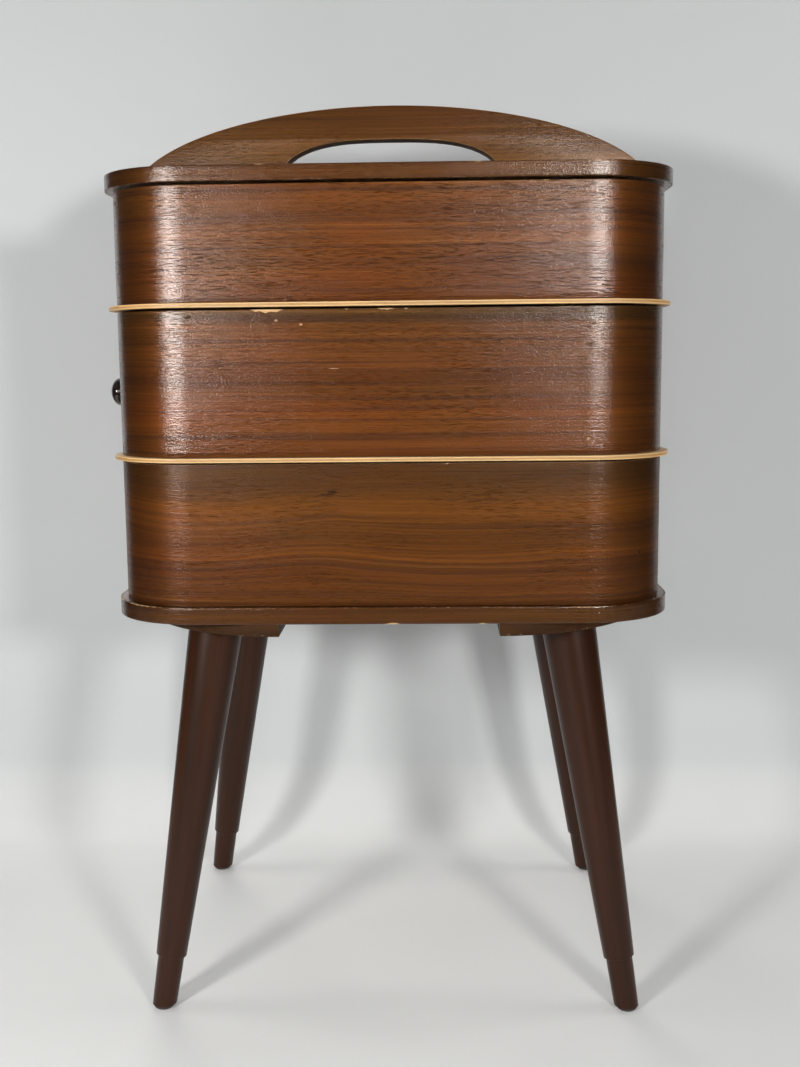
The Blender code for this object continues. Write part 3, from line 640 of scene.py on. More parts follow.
def finish_piece(obj, body, replaced, materials, choose=None, grain=None, wear_and_painted_highlight=None, angle=35.0):
    """Shades a piece, gives it its materials and wood coordinates, and puts it on its body."""
    mesh = obj.data
    mesh.materials.clear()
    for name in materials:
        mesh.materials.append(MATERIALS[name])
    centres, normals = read_all(mesh.polygons, "center"), read_all(mesh.polygons, "normal")
    if choose:
        mesh.polygons.foreach_set("material_index", choose(centres, normals).astype(np.int32))
    mesh.shade_smooth()
    mesh.set_sharp_from_angle(angle=math.radians(angle))

    places = read_all(mesh.vertices, "co")
    corner_vertex = read_counts(mesh.loops, "vertex_index")
    corner_face = np.repeat(np.arange(len(centres)), read_counts(mesh.polygons, "loop_total"))
    values = grain(places[corner_vertex], centres[corner_face], normals[corner_face])
    layer = mesh.attributes.new("grain", "FLOAT_VECTOR", "CORNER")
    layer.data.foreach_set("vector", values.astype(np.float32).ravel())
    wear = np.zeros(len(places)) if wear_and_painted_highlight is None else wear_and_painted_highlight(places)
    layer = mesh.attributes.new("wear_and_painted_highlight", "FLOAT", "POINT")
    layer.data.foreach_set("value", np.asarray(wear, np.float32))
    mesh.update()
    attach(obj, body)
    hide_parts(*replaced)
    return obj


def straight_grain(origin, along, across):
    """Grain coordinates from world places: distances along and across, and along what is left."""
    along, across = Vector(along).normalized(), Vector(across).normalized()
    axes = np.array([along, across, along.cross(across)]).T

    def grain(places, centres, normals):
        return (places - np.array(origin)) @ axes
    return grain


def round_grain(outline, foot, bend=None):
    """Grain coordinates of what goes round an outline: distance along, height, depth."""
    def grain(places, centres, normals):
        along = outline.along(places[:, 0], places[:, 1])
        reference = outline.along(centres[:, 0], centres[:, 1])
        along = along - outline.total * np.round((along - reference) / outline.total)
        x, y = places[:, 0] - outline.x, places[:, 1] - outline.y
        cx, cy = np.clip(x, -outline.flat_x, outline.flat_x), np.clip(y, -outline.flat_y, outline.flat_y)
        depth = outline.r - np.hypot(x - cx, y - cy)
        height = places[:, 2] - foot
        if bend:
            height = height + bend(along - outline.total / 2, height)
        return np.stack([along - outline.total / 2, height, depth], axis=1)
    return grain


def hump(value, centre, width):
    return np.exp(-((value - centre) / width) ** 2)


# ---------------------------------------------------------------- outlines of this box

base_low, base_high, base_middle, base_size = box_of("base_edge_band")
board_outline = Outline(base_middle, base_size.x / 2, base_size.y / 2, PLATE_CORNER_R)
_, _, wall_middle, wall_size = box_of("lower_shell")
overhang = (base_size.x - wall_size.x) / 2
wall_outline = Outline(wall_middle, wall_size.x / 2, wall_size.y / 2, PLATE_CORNER_R - overhang)
pivot = box_of("pivot_rod")[2]
ROD_R = box_of("pivot_rod")[3].x / 2
BORE_R = ROD_R + CLEAR
wall_stations = wall_outline.stations(0.0020, 44)
board_stations = board_outline.stations(0.0030, 44)


def uneven(seed, amplitude, waves=5, longest=0.30):
    """A gentle height field of sums of sines over (distance, height), the same on each run."""
    rng = np.random.default_rng(seed)
    terms = [(rng.uniform(0.2, 1.0), rng.uniform(2, 8) * math.pi / longest, rng.uniform(5, 40),
              rng.uniform(0, 2 * math.pi)) for _ in range(waves)]
    total = sum(term[0] for term in terms)
    turns = 2 * math.pi / board_outline.total

    def field(s, z):
        waves_now = (k * np.sin(np.round(f / turns) * turns * s + g * z + p) for k, f, g, p in terms)
        return sum(waves_now) * amplitude / total
    return field


# ---------------------------------------------------------------- bent walls

# Chips in the veneer under a wall's rim: middle from the centre line, half width, depth down
CHIPS = {
    "lower": [(0.0450, 0.0016, 0.0007)],
    "middle": [(-0.0880, 0.0115, 0.0022), (0.0003, 0.0068, 0.0010), (-0.0286, 0.0012, 0.0007),
               (0.0142, 0.0011, 0.0012)],
    "upper": [(0.1180, 0.0020, 0.0008)],
}


def chip_field(tier, s, below_rim):
    """1 inside a chip, falling to 0 outside its ragged boundary; s is measured from the front's middle."""
    field = np.zeros(np.broadcast(s, below_rim).shape)
    for middle, half, deep in CHIPS[tier]:
        share = (s - middle) / half
        lip = deep * np.sqrt(np.clip(1 - share ** 2, 0, 1)) * (1 + 0.25 * np.sin(share * 9 + middle * 900))
        field = np.maximum(field, np.clip((lip - below_rim) / 0.0004 + 0.5, 0, 1) * (np.abs(share) < 1))
    return field


def lower_bend(s, height):
    """The lower wall's lines rise over a small knot and over a hump left of the middle."""
    knot = -0.0045 * hump(s, -0.042, 0.020) * hump(height, 0.088, 0.022)
    knot = knot * np.clip((0.088 - height) / 0.02, -1, 1)
    sweep = 0.0065 * hump(s, -0.120, 0.075) * hump(height, 0.065, 0.030)
    crest = -0.0050 * hump(s, -0.064, 0.045) * hump(height, 0.038, 0.022)
    tail = 0.0035 * hump(s, 0.060, 0.060) * hump(height, 0.040, 0.030)
    return knot + sweep + crest + tail


def make_wall(tier, body):
    node = f"{tier}_shell"
    low, high, _, _ = box_of(node)
    section = [(0, low.z), (0, high.z), (-WALL_THICK, high.z), (-WALL_THICK, low.z)]
    profile = divide(fillet(section, 0.00035, 2), 0.0045)
    rows_top = high.z - CHIP_TOP
    rows_foot = rows_top - CHIP_ROW * CHIP_ROWS
    close_rows = [(0, rows_top - CHIP_ROW * k) for k in range(CHIP_ROWS, 0, -1)]
    first = next(i for i, (offset, z) in enumerate(profile) if offset > -1e-6 and z > rows_foot)
    above = [(offset, z) for offset, z in profile[first:] if offset < -1e-6 or z > rows_top]
    profile = profile[:first] + close_rows + above
    wave_height = 0.0001
    wave = uneven(sum(map(ord, tier)), wave_height)

    def bulge(s, offset, z):
        """Gentle waves, the chips, and a fine groove where the wall's ends meet at the rear."""
        seam = np.minimum(s, wall_outline.total - s)
        chips = chip_field(tier, s - wall_outline.total / 2, high.z - z)
        joint = 0.0004 * (seam < 0.0005)
        return np.where(offset > -0.001, wave(s, z) - 0.00045 * chips - joint - wave_height, 0)

    wall = swept_ring(f"{tier}_wall", wall_stations, profile, bulge)
    if tier == "middle":
        screw = box_of("knob_screw")[2]
        hole = lathe("bore", [(0, -0.02), (0.0022, -0.02), (0.0022, 0.02), (0, 0.02)], steps=24)
        sideways = Matrix.Translation((low.x, screw.y, screw.z)) @ Matrix.Rotation(math.pi / 2, 4, "Y")
        drill(wall, place(hole, sideways))

    def depth_of(places):
        return round_grain(wall_outline, low.z)(places, places, places)[:, 2]

    def choose(centres, normals):
        level = np.abs(normals[:, 2]) > 0.6
        return np.where(level, 1, np.where(depth_of(centres) < 0.0009, 0, 2))

    def wear_and_painted_highlight(places):
        s = wall_outline.along(places[:, 0], places[:, 1]) - wall_outline.total / 2
        chips = chip_field(tier, s, high.z - places[:, 2]) * (depth_of(places) < 0.0012)
        # Chips are real; the 0.30 along the top arris is a painted highlight that lightens the shaded gap
        # line under the piece above.
        return np.maximum(chips, 0.30 * (places[:, 2] > high.z - 0.0003))

    bend = lower_bend if tier == "lower" else None
    return finish_piece(wall, body, [node], [f"veneer_{tier}", "rim", "inside"], choose,
                        round_grain(wall_outline, low.z, bend), wear_and_painted_highlight, angle=50)


# ---------------------------------------------------------------- boards with veneered edges

def make_board(name, node, body, holes, wear_and_painted_highlight=None):
    """The veneered board inside its edge band."""
    low, high, middle, _ = box_of(node)
    inset = -(low.x - base_low.x)
    profile = [(inset, low.z), (inset, high.z), (-overhang - CLEAR, high.z)]
    panel = drill(board(name, board_stations, profile), *holes)
    grain = straight_grain((middle.x, low.y, low.z), (1, 0, 0), (0, 1, 0))
    return finish_piece(panel, body, [node], ["veneer_board"], grain=grain, wear_and_painted_highlight=wear_and_painted_highlight)


def make_band(name, node, body, wear_and_painted_highlight):
    """The strip of veneer round a board's edge."""
    low, high, _, _ = box_of(node)
    section = [(0, low.z), (0, high.z), (-BAND_THICK, high.z), (-BAND_THICK, low.z)]
    profile = divide(fillet(section, 0.0003, 2), 0.0016)
    depth = 0.00006
    wave = uneven(len(name), depth)
    band = swept_ring(name, board_stations, profile,
                      lambda s, offset, z: np.where(offset > -BAND_THICK / 2, wave(s, z) - depth, 0))
    return finish_piece(band, body, [node], ["veneer_edge"],
                        grain=round_grain(board_outline, low.z), wear_and_painted_highlight=wear_and_painted_highlight, angle=50)


def base_wear_and_painted_highlight(places):
    """Upper arris paler all round, partly wear and partly a painted highlight, a peeled stretch at the left
    front corner, and chips under the front.
    """
    s = board_outline.along(places[:, 0], places[:, 1]) - board_outline.total / 2
    top = np.clip((places[:, 2] - base_high.z + 0.0008) / 0.0008, 0, 1)
    foot = np.clip((base_low.z + 0.0014 - places[:, 2]) / 0.0008, 0, 1)
    peeled = hump(s, -0.196, 0.014) + hump(s, -0.232, 0.010) + 0.8 * hump(s, 0.150, 0.012)
    chipped = hump(s, 0.0025, 0.007) + 0.8 * hump(s, 0.071, 0.004)
    # the 0.44 along the upper arris is partly a painted highlight
    return top * (0.44 + 0.50 * np.clip(peeled, 0, 1)) + foot * np.clip(chipped, 0, 1)


def ledge_wear_and_painted_highlight(places):
    """The ledge round the lower wall is painted paler: the finish is thin there, and a painted highlight
    stands for the light that catches the level ledge.
    """
    beyond_x = np.clip(np.abs(places[:, 0] - wall_outline.x) - wall_outline.flat_x, 0, None)
    beyond_y = np.clip(np.abs(places[:, 1] - wall_outline.y) - wall_outline.flat_y, 0, None)
    outside = np.hypot(beyond_x, beyond_y) > wall_outline.r
    return 0.42 * (outside & (places[:, 2] > base_high.z - 0.0001))


def lid_wear_and_painted_highlight(places):
    """A painted highlight as a thin bright line along the lower arris, and a few knocks on the upper one."""
    low, high, _, _ = box_of("lid_edge_band")
    s = board_outline.along(places[:, 0], places[:, 1]) - board_outline.total / 2
    foot = np.clip((low.z + 0.0007 - places[:, 2]) / 0.0007, 0, 1)
    top = np.clip((places[:, 2] - high.z + 0.0007) / 0.0007, 0, 1)
    knocks = hump(s, 0.067, 0.006) + hump(s, -0.09, 0.004) + hump(s, 0.155, 0.010)
    # the 0.50 along the lower arris is a painted highlight
    return 0.50 * foot + top * (0.44 + 0.5 * np.clip(knocks, 0, 1))


# ---------------------------------------------------------------- tray plates

def make_plate(tier, body):
    node = f"{tier}_base_plate"
    low, high, middle, size = box_of(node)
    thick = size.z
    groove = 0.00010
    section = [(-0.004, low.z), (0, low.z), (0, low.z + thick * 0.31), (-groove, low.z + thick * 0.335),
               (0, low.z + thick * 0.36), (0, low.z + thick * 0.64), (-groove, low.z + thick * 0.665),
               (0, low.z + thick * 0.69), (0, high.z), (-0.004, high.z)]
    profile = fillet(section, 0.00045, 3, closed=False)
    depth = 0.00016
    wave = uneven(len(tier) * 7, depth, waves=9, longest=0.12)
    plate = board(f"{tier}_tray_plate", board_stations, profile,
                  lambda s, offset, z: np.where(offset > -0.002, wave(s, z) - depth, 0))
    drill(plate, bore(pivot, BORE_R, low.z - THROUGH, high.z + THROUGH))

    def choose(centres, normals):
        return np.where(np.abs(normals[:, 2]) > 0.9, 1, 0)

    flat = straight_grain((middle.x, middle.y, low.z), (1, 0, 0), (0, 1, 0))
    rounded = round_grain(board_outline, low.z)

    def grain(places, centres, normals):
        edge = rounded(places, centres, normals)
        edge[:, 1] /= thick
        return np.where(np.abs(normals[:, 2:3]) > 0.9, flat(places, centres, normals), edge)

    return finish_piece(plate, body, [node], ["ply_edge", "ply_face"], choose, grain, angle=50)


# ---------------------------------------------------------------- handle

def arch_points(half_width, height, foot, power, end_power, steps):
    """A flat-footed arch from right to left; the powers set how full its back and its ends are."""
    points = []
    for i in range(steps + 1):
        share = math.cos(math.pi * i / steps)
        points.append((half_width * share, foot + height * max(1 - abs(share) ** power, 0) ** end_power))
    return points


def make_handle():
    low, _, middle, size = box_of("handle")
    edge = 0.0009
    curve = bpy.data.curves.new("handle_arch", "CURVE")
    curve.dimensions = "2D"
    curve.fill_mode = "BOTH"
    curve.bevel_depth = edge
    curve.bevel_resolution = 2
    curve.offset = -edge
    curve.extrude = size.y / 2 - edge
    outlines = [arch_points(HANDLE_HALF_WIDTH, HANDLE_HEIGHT - 2 * CLEAR, 0, 2.0, 0.55, 120),
                arch_points(SLOT_HALF_WIDTH, SLOT_HEIGHT, SLOT_ABOVE_LID, 3.0, 0.46, 96)]
    for points in outlines:
        spline = curve.splines.new("POLY")
        spline.points.add(len(points) - 1)
        for point, (x, y) in zip(spline.points, points):
            point.co = (x, y, 0, 1)
        spline.use_cyclic_u = True
    source = object_from("handle_curve", curve)
    bpy.context.view_layer.update()
    mesh = bpy.data.meshes.new_from_object(source.evaluated_get(bpy.context.evaluated_depsgraph_get()))
    bpy.data.objects.remove(source, do_unlink=True)
    welded = bmesh.new()
    welded.from_mesh(mesh)
    bpy.data.meshes.remove(mesh)
    bmesh.ops.remove_doubles(welded, verts=welded.verts, dist=1e-6)
    handle = form_object("handle_arch", welded)
    place(handle, Matrix.Translation((middle.x, middle.y, low.z)) @ Matrix.Rotation(math.pi / 2, 4, "X"))

    def choose(centres, normals):
        x, z = centres[:, 0] - middle.x, centres[:, 2] - low.z
        outer = HANDLE_HEIGHT * np.clip(1 - (x / HANDLE_HALF_WIDTH) ** 2, 0, 1) ** 0.55
        in_slot = (np.abs(x) < SLOT_HALF_WIDTH + 0.002) & (z > 0.004) & (z < outer - 0.010)
        facing = np.abs(normals[:, 1])
        return np.where(facing > 0.95, 0, np.where(in_slot & (facing < 0.5), 2, 1))

    grain = straight_grain((middle.x, middle.y, low.z), (1, 0, 0), (0, 0, 1))
    return finish_piece(handle, "lid", ["handle"], ["veneer_handle", "handle_rim_with_painted_highlight", "slot_rim"],
                        choose, grain)


# ---------------------------------------------------------------- legs and what is under them

def make_leg(corner):
    glide_low, glide_high, glide, glide_size = box_of(f"foot_glide_{corner}")
    bolt_low, _, bolt, bolt_size = box_of(f"leg_bolt_{corner}")
    leg_low, leg_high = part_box(f"leg_{corner}")
    foot = Vector((glide.x, glide.y, glide_low.z))
    top = Vector((bolt.x, bolt.y, leg_high.z))
    axis = top - foot
    length = axis.length
    spare = 0.022       # cut off level at both ends afterwards
    slope = (LEG_TOP_R - LEG_STEP_R) / (length - LEG_STEP_HEIGHT)
    step_edge = 0.0016
    shoulder = fillet([(TIP_TOP_R, LEG_STEP_HEIGHT - 0.010), (TIP_TOP_R, LEG_STEP_HEIGHT),
                       (LEG_STEP_R, LEG_STEP_HEIGHT), (LEG_STEP_R + slope * 0.012, LEG_STEP_HEIGHT + 0.012)],
                      step_edge, 4, closed=False)
    outline = [(TIP_END_R, -spare), *shoulder, (LEG_TOP_R + slope * spare, length + spare)]
    profile = [(0, -spare), *divide(outline, 0.012, closed=False), (0, length + spare)]
    leg = lathe(f"turned_leg_{corner}", profile, steps=72)
    matrix = Matrix.Translation(foot) @ axis.to_track_quat("Z", "Y").to_matrix().to_4x4()
    place(leg, matrix)

    form = bmesh.new()
    form.from_mesh(leg.data)
    for level, outward in ((leg_low.z, (0, 0, -1)), (leg_high.z, (0, 0, 1))):
        everything = form.verts[:] + form.edges[:] + form.faces[:]
        made = bmesh.ops.bisect_plane(form, geom=everything, plane_co=(0, 0, level), plane_no=outward,
                                      clear_outer=True)
        edges = [e for e in made["geom_cut"] if isinstance(e, bmesh.types.BMEdge)]
        bmesh.ops.holes_fill(form, edges=edges, sides=0)
    bmesh.ops.recalc_face_normals(form, faces=form.faces)
    form.to_mesh(leg.data)
    form.free()
    nail_r = 0.0015
    drill(leg, bore(bolt, bolt_size.x / 2 + CLEAR, bolt_low.z - CLEAR, leg_high.z + THROUGH),
          bore(glide, nail_r + CLEAR, glide_low.z - THROUGH, glide_high.z + CLEAR))
    back = np.array(matrix.inverted())

    def local(places):
        return places @ back[:3, :3].T + back[:3, 3]

    def grain(places, centres, normals):
        return local(places)[:, [2, 0, 1]]

    def wear_and_painted_highlight(places):
        along = local(places)[:, 2]
        return 0.22 * hump(along, LEG_STEP_HEIGHT, 0.0012) + 0.30 * hump(along, leg_low.z, 0.002)

    finish_piece(leg, "base", [f"leg_{corner}"], ["leg_wood"], grain=grain, wear_and_painted_highlight=wear_and_painted_highlight, angle=50)

    r, chamfer, disc_top = glide_size.x / 2, 0.0012, glide_low.z + 0.003
    profile = [(0, glide_low.z), (r - chamfer, glide_low.z), (r, glide_low.z + chamfer), (r, disc_top),
               (nail_r, disc_top), (nail_r, glide_high.z - 0.0025), (0.0002, glide_high.z),
               (0, glide_high.z)]
    profile = fillet(profile, 0.0005, 3, closed=False)
    button = stand(lathe(f"nail_glide_{corner}", profile, steps=48), glide)
    finish_piece(button, "base", [f"foot_glide_{corner}"], ["glide"],
                 grain=straight_grain(glide, (0, 0, 1), (1, 0, 0)))


def make_leg_board(side):
    """A half-oval board: straight inner end, rounded lower arris all round."""
    node = f"leg_board_{side}"
    low, high, middle, size = box_of(node)
    sign = -1 if side == "left" else 1
    inner_x = high.x if side == "left" else low.x
    steps = 96
    angles = [math.pi * (i / steps - 0.5) for i in range(steps + 1)]
    outline = [(inner_x + sign * size.x * math.cos(angle), middle.y + size.y / 2 * math.sin(angle))
               for angle in angles]
    outline = divide(outline, 0.004)
    if sign < 0:
        outline.reverse()
    form = bmesh.new()
    ring = [form.verts.new((x, y, low.z)) for x, y in outline]
    face = form.faces.new(ring)
    made = bmesh.ops.extrude_face_region(form, geom=[face])
    for vertex in (v for v in made["geom"] if isinstance(v, bmesh.types.BMVert)):
        vertex.co.z = high.z
    bmesh.ops.recalc_face_normals(form, faces=form.faces)
    rim = [e for e in form.edges if all(abs(v.co.z - low.z) < 1e-6 for v in e.verts)]
    soften(form, rim)
    piece = form_object(f"half_oval_{side}", form)
    bores = []
    for end in ("front", "rear"):
        _, _, bolt, bolt_size = box_of(f"leg_bolt_{end}_{side}")
        bores.append(bore(bolt, bolt_size.x / 2 + CLEAR, low.z - THROUGH, high.z + THROUGH))
    drill(piece, *bores)
    grain = straight_grain((middle.x, low.y, low.z), (1, 0.04 * sign, 0), (0, 1, 0))

    def wear_and_painted_highlight(places):
        return 0.34 * (places[:, 2] < low.z + 0.001)

    return finish_piece(piece, "base", [node], ["leg_board"], grain=grain, wear_and_painted_highlight=wear_and_painted_highlight)


# ---------------------------------------------------------------- pivot hardware, posts and dividers

def upright(axis):
    return straight_grain((axis.x, axis.y, 0), (0, 0, 1), (1, 0, 0))


def pivot_piece(name, node, body, material, profile, closed=False, steps=64):
    """A turned piece on the pivot's axis. Its slot and its material share a name."""
    piece = stand(lathe(name, profile, closed, steps), pivot)
    return finish_piece(piece, body, [node], [material], grain=upright(pivot))


def make_washer(name, node, body, inner_r, edge):
    low, high, _, size = box_of(node)
    profile = ring_profile(inner_r, size.x / 2, low.z, high.z, edge)
    pivot_piece(name, node, body, "steel", profile, closed=True)


def make_post(tier, body):
    node = f"{tier}_pivot_post"
    low, high, _, size = box_of(node)
    profile = divide(ring_profile(BORE_R, size.x / 2, low.z, high.z, 0.0008), 0.02)
    pivot_piece(f"{tier}_corner_dowel", node, body, "post_wood", profile, closed=True)
    make_washer(f"{tier}_washer", f"{tier}_spacer_washer", body, BORE_R, 0.0002)


def make_rod(thread_top):
    """The threaded stretch carries the nut; the rest of the rod is plain."""
    low, high, _, _ = box_of("pivot_rod")
    pitch, chamfer = 0.00125, 0.0012
    start = low.z + chamfer
    turns = int((thread_top - start) / pitch)
    crest, root = ROD_R - 0.0001, ROD_R - 0.0007
    profile = [(0, low.z), (ROD_R - chamfer, low.z)]
    for i in range(turns):
        z = start + i * pitch
        profile += [(crest, z), (crest, z + pitch * 0.2), (root, z + pitch * 0.6)]
    profile += [(ROD_R, start + turns * pitch), (ROD_R, high.z - 0.0006), (ROD_R - 0.0006, high.z),
                (0, high.z)]
    pivot_piece("threaded_rod", "pivot_rod", "base", "steel", profile, steps=40)


def make_nut():
    """A hexagon whose corners are turned down by a cone at both ends."""
    low, high, _, size = box_of("pivot_nut")
    corner_r = size.x / 2
    flats = corner_r * math.cos(math.pi / 6)
    chamfer = (corner_r - flats) * 0.6
    past = 1e-4
    nut = stand(lathe("hex_nut", [(0, low.z), (corner_r, low.z), (corner_r, high.z), (0, high.z)], steps=6),
                pivot)
    cone = [(0, low.z - past), (flats, low.z - past), (corner_r + 2 * past, low.z + chamfer),
            (corner_r + 2 * past, high.z - chamfer), (flats, high.z + past), (0, high.z + past)]
    cone = stand(lathe("chamfer", cone, steps=48), pivot)
    add_boolean(nut, cone, "INTERSECT")
    drill(nut, bore(pivot, BORE_R, low.z - THROUGH, high.z + THROUGH))
    bpy.data.objects.remove(cone, do_unlink=True)
    finish_piece(nut, "base", ["pivot_nut"], ["steel"], grain=upright(pivot), angle=25)


def make_cap():
    """A domed cap, hollow where the rod ends in it."""
    low, high, _, size = box_of("pivot_cap")
    cap_r, skin, foot = size.x / 2, 0.0018, 0.3
    dome = [(cap_r * math.cos(t), low.z + size.z * foot + size.z * (1 - foot) * math.sin(t))
            for t in np.linspace(0, math.pi / 2, 14)[:-1]]
    edge = fillet([(BORE_R, low.z), (cap_r - 0.0002, low.z), (cap_r, low.z + 0.0006), dome[0]], 0.0003, 2,
                  closed=False)
    profile = [(0, high.z - skin), (BORE_R, high.z - skin), (BORE_R, low.z), *edge[1:-1], *dome, (0, high.z)]
    pivot_piece("dome_cap", "pivot_cap", "base", "brass", profile)


def make_pivot():
    make_rod(thread_top=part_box("pivot_nut")[1].z + 0.012)
    make_washer("nut_washer", "pivot_nut_washer", "base", BORE_R, 0.0003)
    make_nut()
    make_cap()


def make_strip(name, node, body, direction):
    """A thin upright divider with rounded upper edges."""
    low, _, middle, size = box_of(node)
    form = block(size, middle)
    soften(form, [e for e in form.edges if all(v.co.z > middle.z for v in e.verts) or
                  abs(e.verts[0].co.z - e.verts[1].co.z) > size.z / 2])
    return finish_piece(form_object(name, form), body, [node], ["ply_face"],
                        grain=straight_grain(low, direction, (0, 0, 1)))


def thread(start, end, pitch, shank_r, depth):
    """Points of a thread cut into a shank, from start until end is passed."""
    points = []
    z = start
    while z < end:
        points += [(shank_r, z), (shank_r - depth, z + depth)]
        z += pitch
    return points


def slotted_screw(name, profile, slot_depth, head_r):
    """A turned screw with a straight slot cut across its head, which is at z 0."""
    screw = lathe(name, profile, steps=32)
    slot = block((2.4 * head_r, SCREW_SLOT, 2 * slot_depth), (0, 0, 0))
    return drill(screw, form_object("slot", slot))


def make_handle_screw(side):
    node = f"handle_screw_{side}"
    low, _, middle, size = box_of(node)
    head_r, shank_r, length, cut = size.x / 2, 0.002, size.z, 0.0006
    profile = [(0, 0), (head_r, 0), (head_r, 0.0003), (shank_r, 0.0023), (shank_r, 0.0120),
               *thread(0.0125, length - 0.004, 0.0012, shank_r, cut),
               (shank_r - cut, length - 0.004), (0.0002, length), (0, length)]
    screw = slotted_screw(f"wood_screw_{side}", profile, 0.0009, head_r)
    place(screw, Matrix.Translation((middle.x, middle.y, low.z)) @ Matrix.Rotation(0.6, 4, "Z"))
    finish_piece(screw, "lid", [node], ["steel"], grain=upright(middle))


def knob_profile(reach, head_r):
    """A dome on a short neck that flares at its foot, with a blind hole for the screw."""
    dome, rim, neck_r, foot_r, hollow_r, hollow = 0.0075, 0.0030, 0.0050, 0.0070, 0.0022, 0.0123
    rim_z = reach - dome
    crown = [(head_r * math.cos(t), rim_z + dome * math.sin(t)) for t in np.linspace(0, math.pi / 2, 22)]
    under = [(head_r - 0.3 * rim, rim_z - rim), (neck_r, rim_z - rim - 0.0025), (neck_r, 0.0028),
             (foot_r, 0), (hollow_r, 0), (hollow_r, hollow), (0, hollow)]
    under = fillet(under, 0.0012, 5, closed=False)
    turn = fillet([under[0], crown[0], crown[1]], 0.001, 4, closed=False)
    return [*reversed(under), *turn[1:-1], *crown[2:-1], (0, reach)]


def facing_left(high, middle):
    """Turns what was made up the Z axis to run left from the right end of its box."""
    return Matrix.Translation((high.x, middle.y, middle.z)) @ Matrix.Rotation(-math.pi / 2, 4, "Y")


def make_knob():
    _, high, middle, size = box_of("knob")
    knob = place(lathe("pull_knob", knob_profile(size.x, size.y / 2), steps=96), facing_left(high, middle))
    finish_piece(knob, "middle_tray", ["knob"], ["knob"],
                 grain=straight_grain(middle, (1, 0, 0), (0, 0, 1)), angle=40)

    _, high, middle, size = box_of("knob_screw")
    head_r, shank_r, length = size.y / 2, 0.0019, size.x
    profile = [(0, 0), (head_r * 0.55, 0), (head_r * 0.9, 0.0006), (head_r, 0.0012), (head_r, 0.0022),
               (shank_r, 0.0022), *thread(0.008, length - 0.0015, 0.001, shank_r, 0.0005),
               (0.0010, length), (0, length)]
    screw = slotted_screw("knob_fixing_screw", profile, 0.0008, head_r)
    place(screw, facing_left(high, middle) @ Matrix.Rotation(0.9, 4, "Z"))
    finish_piece(screw, "middle_tray", ["knob_screw"], ["steel"],
                 grain=straight_grain(middle, (1, 0, 0), (0, 0, 1)))


# ---------------------------------------------------------------- building the object

BODIES = {"lower": "base", "middle": "middle_tray", "upper": "upper_tray"}
for tier, body in BODIES.items():
    make_wall(tier, body)

holes = []
for corner in CORNERS:
    _, bolt_high, bolt, bolt_size = box_of(f"leg_bolt_{corner}")
    holes.append(bore(bolt, bolt_size.x / 2 + CLEAR, base_low.z - THROUGH, bolt_high.z + CLEAR))
holes.append(bore(pivot, BORE_R, base_low.z - THROUGH, base_high.z + THROUGH))
make_board("base_panel", "base_board", "base", holes, ledge_wear_and_painted_highlight)
make_band("base_banding", "base_edge_band", "base", base_wear_and_painted_highlight)

lid_low, lid_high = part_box("lid_board")
holes = []
for side in ("left", "right"):
    _, _, screw, screw_size = box_of(f"handle_screw_{side}")
    head_r, shank_r = screw_size.x / 2 + CLEAR, 0.0023
    countersink = [(0, lid_low.z - 0.001), (head_r, lid_low.z - 0.001), (head_r, lid_low.z + 0.0003),
                   (shank_r, lid_low.z + 0.0026), (shank_r, lid_high.z + THROUGH), (0, lid_high.z + THROUGH)]
    holes.append(stand(lathe("bore", countersink, steps=32), screw))
holes.append(bore(pivot, BORE_R, lid_low.z - THROUGH, lid_high.z + THROUGH))
make_board("lid_panel", "lid_board", "lid", holes)
make_band("lid_banding", "lid_edge_band", "lid", lid_wear_and_painted_highlight)

make_plate("middle", "middle_tray")
make_plate("upper", "upper_tray")
make_handle()
for corner in CORNERS:
    make_leg(corner)
for side in ("left", "right"):
    make_leg_board(side)
    make_handle_screw(side)
for tier, body in BODIES.items():
    make_post(tier, body)
make_pivot()
make_knob()
make_strip("middle_partition", "middle_divider", "middle_tray", (0, 1, 0))
make_strip("upper_partition", "upper_long_divider", "upper_tray", (1, 0, 0))
make_strip("upper_cross_left", "upper_cross_divider_left", "upper_tray", (0, 1, 0))
make_strip("upper_cross_right", "upper_cross_divider_right", "upper_tray", (0, 1, 0))
for corner in CORNERS:
    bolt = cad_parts[f"leg_bolt_{corner}"]
    bolt.data.materials.clear()
    bolt.data.materials.append(MATERIALS["steel"])


# ---------------------------------------------------------------- floor, backdrop, light and camera

AIM = (0.0025, 0.0, 0.45)       # where every lamp points


def paper(floor_colour, wall_colour):
    """Matt pale paper that is clear from behind, so that it never hides the object."""
    tree = Tree("paper")
    coordinates = tree.node("TexCoord", {}).outputs["Object"]
    cloud = tree.noise(coordinates, (1.3, 1.3, 1.3), 4, 3.0, 0.6)
    tooth = tree.noise(coordinates, (420.0, 420.0, 420.0), 9, 2.0)
    rise = tree.span(tree.split(coordinates)[2], 0.0, 0.07)
    shade = tree.blend(rise, floor_colour, wall_colour)
    shade = tree.tint(shade, tree.span(cloud, 0.3, 0.7, 0.96, 1.03))
    tree.finish(shade, tree.span(tooth, 0.3, 0.7, 0.74, 0.82), tooth, 0.0001, Specular_IOR_Level=0.25)
    clear = tree.node("BsdfTransparent", {}).outputs[0]
    back = tree.node("NewGeometry", {}).outputs["Backfacing"]
    mixed = tree.node("MixShader", {0: back, 1: tree.shader.outputs[0], 2: clear}).outputs[0]
    tree.put(tree.nodes["Material Output"].inputs["Surface"], mixed)
    return tree.material


